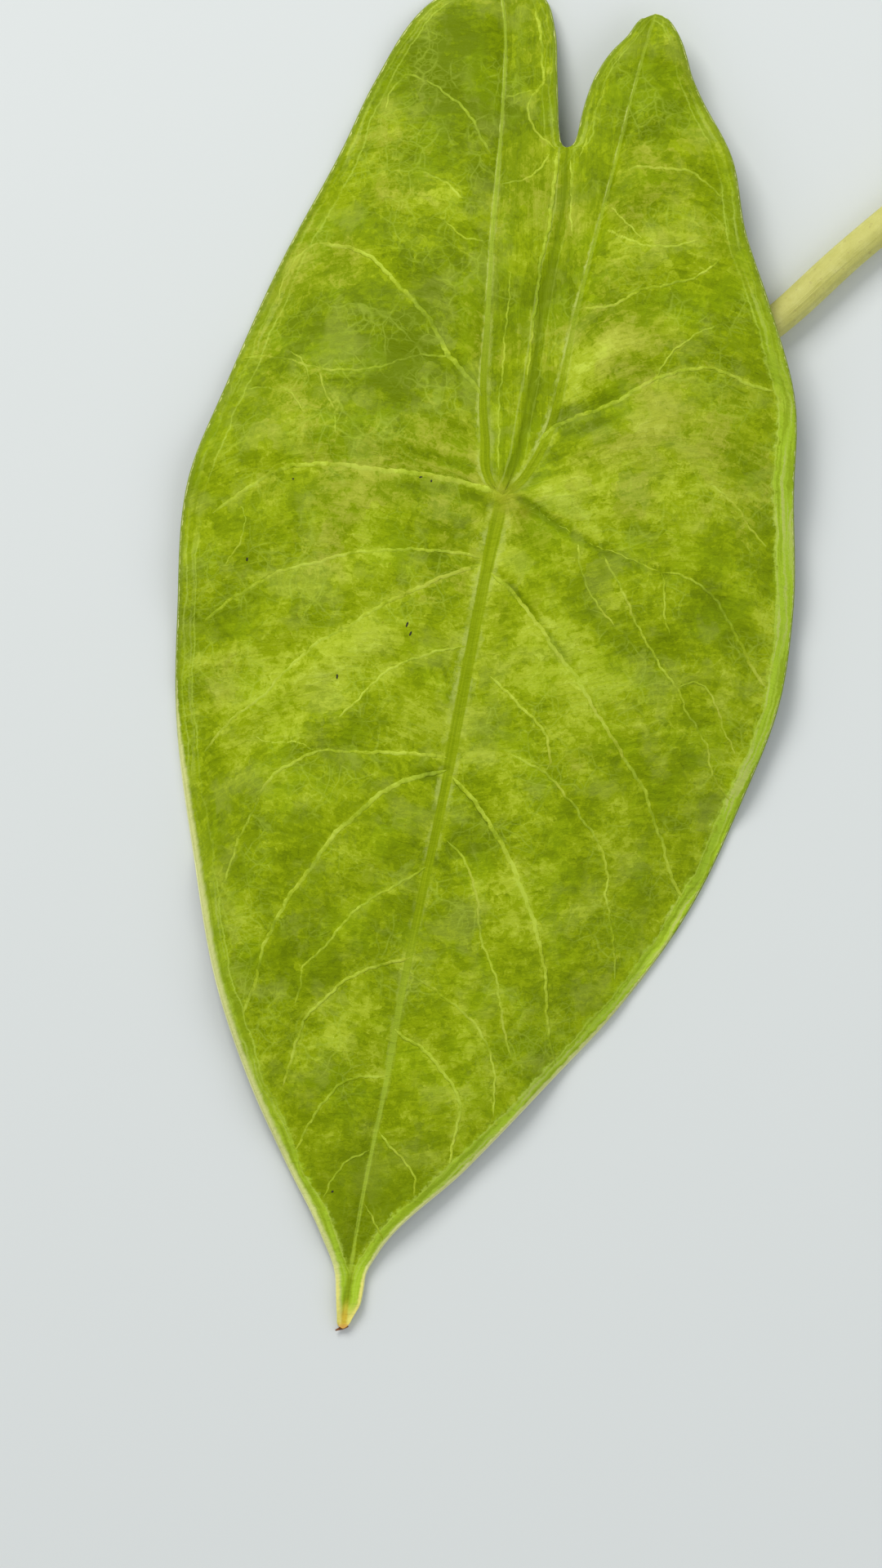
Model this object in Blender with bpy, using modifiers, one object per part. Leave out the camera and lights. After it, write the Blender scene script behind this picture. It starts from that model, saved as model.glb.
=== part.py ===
"""A cut alocasia leaf, laid face up: an arrowhead blade and its stalk.

The blade is one waved sheet. Four grids make it: each half of the blade reaches from the
midrib and lobe rib out to the margin, and each back lobe has an inner wedge from its lobe
rib to the fold between the lobes. Grid rows follow the side ribs, so that the sheet can
sink along every rib and rise between them.

Axes: -Y towards the drip tip, +Y towards the back lobes, +Z up from the surface.
Lengths in the tables are in millimetres from the point where the ribs meet.
"""

import math

import bmesh
import bpy
import numpy as np
from mathutils import Vector

MM = 0.001

# Where the ribs meet, measured from the origin on the surface below the middle of the part
RIB_MEETING = np.array([-38.9, 15.3])

# Blade thickness
LAMINA = 0.8
MARGIN_BEAD = 1.1
RIB_AT_MEETING = 2.6
RIB_AT_TIPS = 1.0
RIB_HALF_WIDTH = 1.5

# Relief of the sheet
BULGE = 0.75
BULGE_FULL_SPACING = 14.0
ARCH = 1.4
DROOP_POWER = 1.7
CHANNEL_DEPTH = 0.5
CHANNEL_HALF_WIDTH = 2.2
RIPPLE = 0.45
RIPPLE_LENGTH = 19.0

# Grid
ROW_STEP = 4.2
ROW_MERGE = 1.3
HALF_COLUMNS = 13
WEDGE_COLUMNS = 4
# Rows that round the bottom of the notch and the tops of the lobes
ROUNDING_ROWS = [62.3, 63.4, 91.8]

# Lines of the blade in plan: (x, y), from the drip tip upwards
MIDRIB = [
    (-29.0, -148.0), (-28.4, -142.4), (-27.8, -138.3), (-26.4, -129.3), (-23.9, -116.3),
    (-21.5, -104.7), (-18.9, -90.0), (-15.4, -72.8), (-10.3, -49.3), (-6.1, -26.8),
    (-2.2, -6.8), (-1.4, -3.2), (-0.7, 0.0),
]
LEFT_MARGIN = [
    (-29.0, -148.0), (-29.8, -147.5), (-30.1, -145.3), (-30.2, -142.0), (-30.3, -138.3),
    (-32.8, -131.1), (-39.2, -118.0),
    (-45.2, -104.7), (-51.4, -86.4), (-55.4, -64.0), (-58.6, -37.3), (-58.3, -20.4),
    (-56.3, 3.3), (-49.4, 20.6), (-40.3, 40.9), (-28.9, 62.1), (-23.3, 73.7),
    (-12.9, 88.2), (-7.3, 91.4), (-1.2, 92.5),
]
RIGHT_MARGIN = [
    (-29.0, -148.0), (-28.2, -147.4), (-27.2, -145.7), (-26.1, -143.8), (-25.5, -140.9),
    (-25.1, -138.3), (-23.1, -134.7), (-7.1, -119.3),
    (8.1, -103.5), (17.8, -93.2), (32.9, -72.6), (41.9, -53.7), (48.3, -37.0),
    (50.8, -20.7), (50.9, 1.2), (51.2, 15.7), (46.5, 33.9), (42.3, 46.7),
    (39.9, 59.9), (34.1, 71.5), (32.6, 74.6), (31.9, 77.6), (30.9, 80.4), (29.4, 83.0),
    (28.4, 84.8), (26.5, 85.7),
]
LEFT_LOBE_RIB = [
    (-0.7, 0.0), (-2.5, 1.5), (-3.5, 3.6), (-3.9, 9.9), (-4.3, 15.1), (-4.3, 20.2),
    (-3.7, 27.7), (-2.5, 46.5), (-0.7, 68.6), (-0.2, 84.0), (-1.2, 92.5),
]
RIGHT_LOBE_RIB = [
    (-0.7, 0.0), (1.5, 1.6), (3.2, 3.4), (4.9, 5.9), (7.9, 12.0), (10.0, 20.2), (12.8, 33.4),
    (18.0, 53.5), (24.4, 78.4), (26.5, 85.7),
]
LOBE_FOLD = [
    (-0.7, 0.0), (0.6, 3.0), (1.8, 6.6), (2.7, 12.0), (4.9, 24.0), (6.9, 37.7), (10.0, 52.1),
    (10.7, 61.9),
]
LEFT_NOTCH_EDGE = [
    (10.7, 61.9), (9.9, 62.6), (9.4, 64.2), (9.1, 68.0), (8.9, 75.0), (8.5, 83.0),
    (7.0, 88.2), (4.2, 90.8), (-1.2, 92.5),
]
RIGHT_NOTCH_EDGE = [
    (10.7, 61.9), (11.8, 62.5), (12.5, 63.7), (13.2, 66.4), (14.0, 69.3), (15.9, 74.4),
    (18.7, 78.7), (21.6, 81.6), (24.0, 84.6), (26.5, 85.7),
]

# Heights of the upper face over the surface: (y, z)
MIDRIB_HEIGHT = [(-148, 0.8), (-136, 1.0), (-122, 2.4), (-100, 5.4), (-60, 10.0), (-25, 13.2), (0, 14.6)]
LEFT_RIB_HEIGHT = [(0, 14.6), (30, 12.4), (62, 8.2), (80, 4.4), (92.5, 1.6)]
RIGHT_RIB_HEIGHT = [(0, 14.6), (30, 13.6), (62, 11.0), (85.7, 7.0)]
LEFT_MARGIN_HEIGHT = [
    (-148, 0.8), (-142, 2.0), (-134, 2.3), (-118, 2.6), (-96, 4.6), (-76, 3.4), (-52, 0.2),
    (-34, 1.0), (-14, 4.0), (6, 4.4), (28, 1.4), (46, 0.2), (62, 1.0), (78, 2.0), (92.5, 1.6),
]
RIGHT_MARGIN_HEIGHT = [
    (-148, 0.8), (-142, 2.0), (-134, 2.4), (-116, 3.2), (-98, 1.6), (-78, 0.2), (-62, 0.8),
    (-42, 4.4), (-22, 4.6), (-2, 6.4), (16, 8.4), (34, 9.8), (50, 9.2), (66, 7.2), (85.7, 7.0),
]
FOLD_SINK = 1.6

# Side ribs: height where each leaves the midrib or lobe rib, height where it reaches the
# margin, and how far it bows towards the lobes as a share of its length
LEFT_SIDE_RIBS = [
    (-148.0, -148.0, 0.0), (-138.3, -138.3, 0.0), (-116.0, -127.0, 0.08),
    (-103.0, -120.0, 0.10), (-83.0, -111.6, 0.17), (-63.0, -102.0, 0.12),
    (-49.3, -94.5, 0.15), (-45.5, -72.8, 0.22), (-26.8, -56.8, 0.12),
    (-14.6, -45.5, 0.08), (-9.6, -23.5, 0.11), (0.0, -3.5, 0.14), (6.5, 12.0, 0.16),
    (12.5, 25.0, 0.18), (18.8, 41.8, 0.19), (35.0, 50.5, 0.17), (50.0, 59.2, 0.15),
    (60.5, 74.8, 0.13), (72.0, 84.0, 0.08), (92.5, 92.5, 0.0),
]
RIGHT_SIDE_RIBS = [
    (-148.0, -148.0, 0.0), (-138.3, -138.3, 0.0), (-113.0, -128.5, 0.10),
    (-95.0, -121.8, 0.19), (-78.6, -112.7, 0.12), (-49.3, -101.0, 0.09),
    (-35.0, -89.5, 0.08), (-14.6, -75.7, 0.08), (-8.0, -57.3, 0.12),
    (0.0, -39.4, 0.14), (5.2, -16.2, 0.15), (12.2, 14.0, 0.17), (22.2, 38.0, 0.15),
    (35.2, 55.0, 0.13), (53.5, 67.9, 0.12), (68.0, 77.3, 0.08), (85.7, 85.7, 0.0),
]

# Stalk: plan (x, y) of its centre line, its height until it lies down, and its radius
STALK_ROUTE = [
    (0.0, 0.0), (24.0, 15.6), (47.9, 31.3), (60.3, 42.5), (85.0, 63.0), (104.0, 80.5),
    (121.0, 98.0), (134.0, 116.0),
]
STALK_DROP = [(0.0, 10.6), (0.4, 9.1), (1.6, 7.6), (4.0, 6.1), (8.0, 5.0), (17.0, 3.7), (34.0, 2.8)]
STALK_RADIUS = [(0.0, 3.3), (6.0, 3.0), (18.0, 2.9), (110.0, 2.95), (176.0, 3.3)]
STALK_FLAT_DEPTH = 0.12
STALK_STEPS = 52
STALK_BEND_STEPS = 10
STALK_BEND_END = 8.0

# Colours of the two tissues
BLADE_GREEN = (0.250, 0.410, 0.025, 1.0)
STALK_GREEN = (0.560, 0.570, 0.170, 1.0)
BLADE_ROUGHNESS = 0.42
STALK_ROUGHNESS = 0.48

WELD = 0.00001
LINE_SAMPLES = 600


def clear_scene():
    """Remove every object of the open scene."""
    for item in list(bpy.data.objects):
        bpy.data.objects.remove(item, do_unlink=True)


def make_collection(name):
    """Return a new collection linked to the scene."""
    collection = bpy.data.collections.new(name)
    bpy.context.scene.collection.children.link(collection)
    return collection


def make_material(name, colour, roughness):
    """Return a Principled material of one colour."""
    material = bpy.data.materials.new(name)
    material.use_nodes = True
    shader = material.node_tree.nodes["Principled BSDF"]
    shader.inputs["Base Color"].default_value = colour
    shader.inputs["Roughness"].default_value = roughness
    shader.inputs["Metallic"].default_value = 0.0
    return material


def smooth_curve(points, samples=LINE_SAMPLES):
    """Pass a smooth curve through points and return evenly parted samples of it.

    Each coordinate is a cubic whose slope at a point is the mean slope to its neighbours.
    """
    points = np.array(points, float)
    chord = np.linalg.norm(np.diff(points, axis=0), axis=1)
    along = np.concatenate(([0.0], np.cumsum(chord)))
    slopes = np.gradient(points, along, axis=0)
    fine = np.linspace(0.0, along[-1], samples)
    span = np.clip(np.searchsorted(along, fine, side="right") - 1, 0, len(chord) - 1)
    length = chord[span][:, None]
    part = (fine - along[span])[:, None] / length
    start_share = 2 * part**3 - 3 * part**2 + 1
    start_slope = part**3 - 2 * part**2 + part
    end_share = 3 * part**2 - 2 * part**3
    end_slope = part**3 - part**2
    return (
        start_share * points[span]
        + start_slope * length * slopes[span]
        + end_share * points[span + 1]
        + end_slope * length * slopes[span + 1]
    )


def at_height(line, y):
    """Return the plan points of a line at heights y, for a line that only climbs."""
    climb = np.maximum.accumulate(line[:, 1])
    return np.stack([np.interp(y, climb, line[:, 0]), y], axis=-1)


def table(pairs, at):
    """Read a smooth curve through (position, value) pairs."""
    line = smooth_curve(pairs)
    return np.interp(at, line[:, 0], line[:, 1])


def row_heights():
    """Return the heights of the grid rows: one at each side rib, and even ones between."""
    starts = [rib[0] for rib in LEFT_SIDE_RIBS + RIGHT_SIDE_RIBS if rib[0] < LOBE_FOLD[-1][1]]
    starts = sorted(starts + [0.0, LOBE_FOLD[-1][1]])
    kept = [starts[0]]
    for height in starts[1:]:
        must_stay = height in (0.0, LOBE_FOLD[-1][1])
        if height - kept[-1] >= ROW_MERGE:
            kept.append(height)
        elif must_stay and height != kept[-1]:
            kept[-1] = height
    kept.append(LEFT_MARGIN[-1][1])
    rows = []
    for low, high in zip(kept[:-1], kept[1:]):
        count = max(1, math.ceil((high - low) / ROW_STEP))
        rows.extend(np.linspace(low, high, count, endpoint=False))
    rows.append(kept[-1])
    return np.array(sorted(rows + ROUNDING_ROWS))


def fit_to_lobe(rows, lobe_top):
    """Stretch the rows above the notch so that the last one is at the lobe's top."""
    notch = LOBE_FOLD[-1][1]
    share = (rows - notch) / (LEFT_MARGIN[-1][1] - notch)
    return np.where(rows > notch, notch + share * (lobe_top - notch), rows)


class HalfBlade:
    """One half of the blade: its lines, its side ribs and its heights."""

    def __init__(self, side, margin, lobe_rib, notch_edge, side_ribs, rib_height, margin_height):
        self.side = side
        self.top = margin[-1][1]
        self.margin = smooth_curve(margin)
        self.midrib = smooth_curve(MIDRIB)
        self.lobe_rib = smooth_curve(lobe_rib)
        self.fold = smooth_curve(LOBE_FOLD)
        self.notch_edge = smooth_curve(notch_edge)
        self.ribs = np.array(side_ribs)
        self.rib_height = rib_height
        self.margin_height = margin_height

    def inner_line(self, y):
        """Return the midrib below the rib meeting and the lobe rib above it."""
        below = at_height(self.midrib, np.minimum(y, 0.0))
        above = at_height(self.lobe_rib, np.maximum(y, 0.0))
        return np.where((y > 0.0)[..., None], above, below)

    def inner_height(self, y):
        """Return the height of the upper face along the midrib and the lobe rib."""
        below = table(MIDRIB_HEIGHT, np.minimum(y, 0.0))
        above = table(self.rib_height, np.maximum(y, 0.0))
        return np.where(y > 0.0, above, below)

    def inner_thickness(self, y):
        """Return the thickness at the middle of the midrib and the lobe rib."""
        below = RIB_AT_TIPS + (RIB_AT_MEETING - RIB_AT_TIPS) * (1.0 + y / 148.0)
        above = RIB_AT_TIPS + (RIB_AT_MEETING - RIB_AT_TIPS) * (1.0 - y / self.top) ** 2
        return np.where(y > 0.0, above, below)

    def half_grid(self, y, across):
        """Return points and thickness of the half from inner line (0) to margin (1)."""
        rib_y, end_y, bow = self.ribs.T
        out_y = np.interp(y, rib_y, end_y)
        start = self.inner_line(y)[:, None, :]
        end = at_height(self.margin, out_y)[:, None, :]
        t = across[None, :, None]
        reach = end - start
        normal = np.stack([-reach[..., 1], reach[..., 0]], axis=-1) * self.side
        bend = np.interp(y, rib_y, bow)[:, None, None]
        plan = start + t * reach + bend * 4.0 * t * (1.0 - t) * normal

        t = across[None, :]
        length = np.linalg.norm(reach, axis=-1)
        from_inner = t * length
        inner_z = self.inner_height(y)[:, None]
        margin_z = table(self.margin_height, out_y)[:, None]
        height = inner_z + (margin_z - inner_z) * t**DROOP_POWER
        height += ARCH * np.sin(np.pi * t) * np.clip(length / 50.0, 0.0, 1.0)
        height += self.bulges(y, t)
        height += RIPPLE * np.sin(2 * np.pi * out_y / RIPPLE_LENGTH)[:, None] * t**3
        channel = np.exp(-((from_inner / CHANNEL_HALF_WIDTH) ** 2))
        fade = np.clip(length / 12.0, 0.0, 1.0)
        height -= CHANNEL_DEPTH * channel * fade

        thick = self.rib_thickness(y, from_inner)
        bead = np.exp(-(((1.0 - t) * length / 1.5) ** 2))
        thick = np.maximum(thick, LAMINA + (MARGIN_BEAD - LAMINA) * bead)
        return plan, height, thick

    def bulges(self, y, t):
        """Return the rise between side ribs, higher where they stand further apart."""
        rib_y, end_y, _ = self.ribs.T
        band = np.clip(np.searchsorted(rib_y, y, side="right") - 1, 0, len(rib_y) - 2)
        phase = (y - rib_y[band]) / (rib_y[band + 1] - rib_y[band])
        inner_gap = (rib_y[band + 1] - rib_y[band])[:, None]
        outer_gap = (end_y[band + 1] - end_y[band])[:, None]
        gap = inner_gap * (1.0 - t) + outer_gap * t
        size = BULGE * np.clip(gap / BULGE_FULL_SPACING, 0.0, 1.0)
        return size * np.sin(np.pi * phase)[:, None] ** 2 * np.sin(np.pi * t) ** 0.7

    def rib_thickness(self, y, distance):
        """Return the thickness at a distance from the midrib or the lobe rib."""
        rib = self.inner_thickness(y)[:, None]
        return LAMINA + (rib - LAMINA) * np.exp(-((distance / RIB_HALF_WIDTH) ** 2))

    def wedge_grid(self, y, across):
        """Return points and thickness from the lobe rib (0) to the fold or notch edge (1)."""
        notch = LOBE_FOLD[-1][1]
        start = at_height(self.lobe_rib, y)[:, None, :]
        on_fold = at_height(self.fold, np.minimum(y, notch))
        on_edge = at_height(self.notch_edge, np.maximum(y, notch))
        end = np.where((y > notch)[:, None], on_edge, on_fold)[:, None, :]
        t = across[None, :, None]
        plan = start + t * (end - start)

        t = across[None, :]
        length = np.linalg.norm(end - start, axis=-1)
        sink = FOLD_SINK * np.sin(np.pi * y / self.top)[:, None] * t**1.5
        mean_height = 0.5 * (table(LEFT_RIB_HEIGHT, y) + table(RIGHT_RIB_HEIGHT, y))
        own_height = self.inner_height(y)
        share = np.clip((y - notch) / (self.top - notch), 0.0, 1.0)
        far_height = mean_height + (own_height - mean_height) * share
        height = own_height[:, None] * (1.0 - t) + far_height[:, None] * t - sink
        channel = np.exp(-((t * length / CHANNEL_HALF_WIDTH) ** 2))
        fade = np.clip(np.linalg.norm(self.row_reach(y), axis=-1) / 12.0, 0.0, 1.0)
        height -= CHANNEL_DEPTH * channel * fade[:, None]
        return plan, height, self.rib_thickness(y, t * length)

    def row_reach(self, y):
        """Return the vectors from the inner line to the margin."""
        rib_y, end_y, _ = self.ribs.T
        return at_height(self.margin, np.interp(y, rib_y, end_y)) - self.inner_line(y)


def add_grid(mesh, weights, plan, height, thick):
    """Add one grid of quads to the mesh, at the middle of the sheet's thickness."""
    height = np.maximum(height, thick)
    middle = height - thick / 2
    rows, columns = middle.shape
    grid = []
    for i in range(rows):
        line = []
        for j in range(columns):
            x, y = (plan[i, j] + RIB_MEETING) * MM
            corner = mesh.verts.new((x, y, middle[i, j] * MM))
            corner[weights][0] = thick[i, j] / RIB_AT_MEETING
            line.append(corner)
        grid.append(line)
    for i in range(rows - 1):
        for j in range(columns - 1):
            mesh.faces.new((grid[i][j], grid[i][j + 1], grid[i + 1][j + 1], grid[i + 1][j]))


def even_columns(count):
    """Return shares from 0 to 1 that lie closer together near both ends."""
    return 0.5 - 0.5 * np.cos(np.pi * np.arange(count + 1) / count)


def build_blade(collection, material):
    """Make the blade: an open waved sheet of four grids, thickened on both faces."""
    halves = [
        HalfBlade(-1, LEFT_MARGIN, LEFT_LOBE_RIB, LEFT_NOTCH_EDGE, LEFT_SIDE_RIBS,
                  LEFT_RIB_HEIGHT, LEFT_MARGIN_HEIGHT),
        HalfBlade(1, RIGHT_MARGIN, RIGHT_LOBE_RIB, RIGHT_NOTCH_EDGE, RIGHT_SIDE_RIBS,
                  RIGHT_RIB_HEIGHT, RIGHT_MARGIN_HEIGHT),
    ]
    rows = row_heights()
    sheet = bmesh.new()
    weights = sheet.verts.layers.deform.verify()
    for half in halves:
        y = fit_to_lobe(rows, half.top)
        add_grid(sheet, weights, *half.half_grid(y, even_columns(HALF_COLUMNS)))
        add_grid(sheet, weights, *half.wedge_grid(y[y >= 0.0], even_columns(WEDGE_COLUMNS)))
    bmesh.ops.remove_doubles(sheet, verts=sheet.verts, dist=WELD)
    bmesh.ops.dissolve_degenerate(sheet, edges=sheet.edges, dist=WELD)
    bmesh.ops.triangulate(sheet, faces=sheet.faces, quad_method="SHORT_EDGE")
    bmesh.ops.recalc_face_normals(sheet, faces=sheet.faces)
    if sum(face.normal.z for face in sheet.faces) < 0.0:
        bmesh.ops.reverse_faces(sheet, faces=sheet.faces)

    mesh = bpy.data.meshes.new("leaf_blade")
    sheet.to_mesh(mesh)
    sheet.free()
    mesh.shade_smooth()
    mesh.materials.append(material)
    blade = bpy.data.objects.new("leaf_blade", mesh)
    collection.objects.link(blade)
    blade.vertex_groups.new(name="thickness")

    solidify = blade.modifiers.new("Thickness", "SOLIDIFY")
    solidify.thickness = RIB_AT_MEETING * MM
    solidify.offset = 0.0
    solidify.vertex_group = "thickness"
    solidify.use_rim = True
    return blade


def stalk_line():
    """Return the stalk's centre points and radii, from the blade to the cut end."""
    route = smooth_curve(STALK_ROUTE)
    along = np.concatenate(([0.0], np.cumsum(np.linalg.norm(np.diff(route, axis=0), axis=1))))
    bend = STALK_BEND_END * np.linspace(0.0, 1.0, STALK_BEND_STEPS, endpoint=False) ** 2
    lying = np.linspace(STALK_BEND_END, along[-1], STALK_STEPS - STALK_BEND_STEPS)
    at = np.concatenate((bend, lying))
    radius = table(STALK_RADIUS, at)
    drop_end = STALK_DROP[-1][0]
    drop = np.interp(np.minimum(at, drop_end), *smooth_curve(STALK_DROP).T)
    lying_height = radius - STALK_FLAT_DEPTH
    height = np.maximum(drop, lying_height)
    x = np.interp(at, along, route[:, 0]) + RIB_MEETING[0]
    y = np.interp(at, along, route[:, 1]) + RIB_MEETING[1]
    return np.stack([x, y, height], axis=-1) * MM, radius * MM


def build_stalk(collection, cutters, material):
    """Make the stalk: a bevelled curve made solid, with a flat strip where it lies."""
    points, radii = stalk_line()
    curve = bpy.data.curves.new("stalk_line", "CURVE")
    curve.dimensions = "3D"
    curve.bevel_depth = 1.0
    curve.bevel_resolution = 5
    curve.use_fill_caps = True
    spline = curve.splines.new("POLY")
    spline.points.add(len(points) - 1)
    for place, point, radius in zip(spline.points, points, radii):
        place.co = (*point, 1.0)
        place.radius = radius
    guide = bpy.data.objects.new("stalk_guide", curve)
    collection.objects.link(guide)
    bpy.context.view_layer.update()
    evaluated = guide.evaluated_get(bpy.context.evaluated_depsgraph_get())
    mesh = bpy.data.meshes.new_from_object(evaluated)
    mesh.name = "petiole"
    bpy.data.objects.remove(guide, do_unlink=True)

    tube = bmesh.new()
    tube.from_mesh(mesh)
    bmesh.ops.remove_doubles(tube, verts=tube.verts, dist=WELD)
    bmesh.ops.recalc_face_normals(tube, faces=tube.faces)
    tube.to_mesh(mesh)
    tube.free()
    mesh.materials.clear()
    mesh.materials.append(material)
    mesh.shade_smooth()
    stalk = bpy.data.objects.new("petiole", mesh)
    collection.objects.link(stalk)

    surface = add_surface_cutter(cutters)
    flat = stalk.modifiers.new("Lying flat", "BOOLEAN")
    flat.operation = "DIFFERENCE"
    flat.solver = "EXACT"
    flat.object = surface
    return stalk


def add_surface_cutter(cutters):
    """Make the block whose upper face is the surface that the leaf lies on."""
    size = Vector((0.4, 0.4, 0.02))
    block = bmesh.new()
    bmesh.ops.create_cube(block, size=1.0)
    bmesh.ops.scale(block, vec=size, verts=block.verts)
    bmesh.ops.translate(block, vec=(0.0, 0.0, -size.z / 2), verts=block.verts)
    mesh = bpy.data.meshes.new("surface_cutter")
    block.to_mesh(mesh)
    block.free()
    cutter = bpy.data.objects.new("surface_cutter", mesh)
    cutter.hide_render = True
    cutter.display_type = "WIRE"
    cutters.objects.link(cutter)
    return cutter


def main():
    """Build the leaf."""
    clear_scene()
    parts = make_collection("alocasia_leaf")
    cutters = make_collection("cutters")
    build_blade(parts, make_material("blade_green", BLADE_GREEN, BLADE_ROUGHNESS))
    build_stalk(parts, cutters, make_material("stalk_green", STALK_GREEN, STALK_ROUGHNESS))


main()
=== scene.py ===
"""The looks of a cut, variegated alocasia leaf that lies face up on a pale surface."""

import logging
import math
from collections.abc import Callable
from dataclasses import dataclass, field
from enum import Enum

import bpy
import numpy as np
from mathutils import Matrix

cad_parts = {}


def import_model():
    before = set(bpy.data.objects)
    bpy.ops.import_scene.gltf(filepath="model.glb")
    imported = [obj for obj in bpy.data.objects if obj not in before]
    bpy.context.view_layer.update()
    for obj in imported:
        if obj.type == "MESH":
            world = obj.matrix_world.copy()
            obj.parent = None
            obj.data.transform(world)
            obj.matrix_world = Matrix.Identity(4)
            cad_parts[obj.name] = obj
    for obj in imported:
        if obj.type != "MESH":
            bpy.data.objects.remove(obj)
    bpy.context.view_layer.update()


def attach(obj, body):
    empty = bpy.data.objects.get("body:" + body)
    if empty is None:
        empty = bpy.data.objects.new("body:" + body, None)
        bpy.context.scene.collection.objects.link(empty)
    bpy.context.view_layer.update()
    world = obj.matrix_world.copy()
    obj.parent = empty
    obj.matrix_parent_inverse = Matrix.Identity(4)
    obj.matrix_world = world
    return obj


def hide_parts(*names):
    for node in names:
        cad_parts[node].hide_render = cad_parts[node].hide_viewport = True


LOG = logging.getLogger("alocasia_leaf")
MM = 0.001
ROOT = "root"
BLADE_NODE = "leaf_blade"
STALK_NODE = "petiole"
Pairs = list[tuple[float, float]]
Colour = tuple[float, float, float]
Array = np.ndarray
Socket = bpy.types.NodeSocket

# The leaf's lines and heights, in millimetres from the point where the ribs meet
RIB_MEETING = np.array([-38.9, 15.3])
MIDRIB: Pairs = [
    (-29.0, -148.0), (-28.4, -142.4), (-27.8, -138.3), (-26.4, -129.3), (-23.9, -116.3),
    (-21.5, -104.7), (-18.9, -90.0), (-15.4, -72.8), (-10.3, -49.3), (-6.1, -26.8),
    (-2.2, -6.8), (-1.4, -3.2), (-0.7, 0.0),
]
LEFT_MARGIN: Pairs = [
    (-29.0, -148.0), (-29.8, -147.5), (-30.1, -145.3), (-30.2, -142.0), (-30.3, -138.3),
    (-32.8, -131.1), (-39.2, -118.0),
    (-45.2, -104.7), (-51.4, -86.4), (-55.4, -64.0), (-58.6, -37.3), (-58.3, -20.4),
    (-56.3, 3.3), (-49.4, 20.6), (-40.3, 40.9), (-28.9, 62.1), (-23.3, 73.7),
    (-12.9, 88.2), (-7.3, 91.4), (-1.2, 92.5),
]
RIGHT_MARGIN: Pairs = [
    (-29.0, -148.0), (-28.2, -147.4), (-27.2, -145.7), (-26.1, -143.8), (-25.5, -140.9),
    (-25.1, -138.3), (-23.1, -134.7), (-7.1, -119.3),
    (8.1, -103.5), (17.8, -93.2), (32.9, -72.6), (41.9, -53.7), (48.3, -37.0),
    (50.8, -20.7), (50.9, 1.2), (51.2, 15.7), (46.5, 33.9), (42.3, 46.7),
    (39.9, 59.9), (34.1, 71.5), (32.8, 74.6), (32.0, 77.6), (31.1, 80.4), (30.0, 82.7),
    (28.8, 84.4), (27.7, 85.3), (26.5, 85.7),
]
LEFT_LOBE_RIB: Pairs = [
    (-0.7, 0.0), (-2.5, 1.5), (-3.5, 3.6), (-3.9, 9.9), (-4.3, 15.1), (-4.3, 20.2),
    (-3.7, 27.7), (-2.5, 46.5), (-0.7, 68.6), (-0.2, 84.0), (-1.2, 92.5),
]
RIGHT_LOBE_RIB: Pairs = [
    (-0.7, 0.0), (1.5, 1.6), (3.2, 3.4), (4.9, 5.9), (7.9, 12.0), (10.0, 20.2), (12.8, 33.4),
    (18.0, 53.5), (24.4, 78.4), (26.5, 85.7),
]
LOBE_FOLD: Pairs = [
    (-0.7, 0.0), (0.6, 3.0), (1.8, 6.6), (2.7, 12.0), (4.9, 24.0), (6.9, 37.7), (10.0, 52.1),
    (10.7, 61.9),
]
LEFT_NOTCH_EDGE: Pairs = [
    (10.7, 61.9), (10.1, 62.1), (9.7, 62.7), (9.4, 64.2), (9.1, 68.0), (8.9, 75.0), (8.5, 83.0),
    (7.0, 88.2), (4.2, 90.8), (-1.2, 92.5),
]
RIGHT_NOTCH_EDGE: Pairs = [
    (10.7, 61.9), (11.4, 62.05), (12.0, 62.6), (12.5, 63.7), (13.2, 66.4), (14.0, 69.3), (15.9, 74.4),
    (18.7, 78.7), (21.6, 81.6), (24.0, 84.6), (26.5, 85.7),
]
MIDRIB_HEIGHT: Pairs = [
    (-148, 0.8), (-136, 1.0), (-122, 2.4), (-100, 5.4), (-60, 10.0), (-25, 13.2), (0, 14.6),
]
LEFT_RIB_HEIGHT: Pairs = [(0, 14.6), (30, 12.4), (62, 8.2), (80, 4.4), (92.5, 1.6)]
RIGHT_RIB_HEIGHT: Pairs = [(0, 14.6), (30, 13.6), (62, 11.0), (85.7, 7.0)]
LEFT_MARGIN_HEIGHT: Pairs = [
    (-148, 0.8), (-142, 2.0), (-134, 2.3), (-118, 2.6), (-96, 4.6), (-76, 3.4), (-52, 0.2),
    (-34, 1.0), (-14, 4.0), (6, 4.4), (28, 1.4), (46, 0.2), (62, 1.0), (78, 2.0), (92.5, 1.6),
]
RIGHT_MARGIN_HEIGHT: Pairs = [
    (-148, 0.8), (-142, 2.0), (-134, 2.4), (-116, 3.2), (-98, 1.6), (-78, 0.2), (-62, 0.8),
    (-42, 4.4), (-22, 4.6), (-2, 6.4), (16, 8.4), (34, 9.8), (50, 9.2), (66, 7.2), (85.7, 7.0),
]

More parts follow.
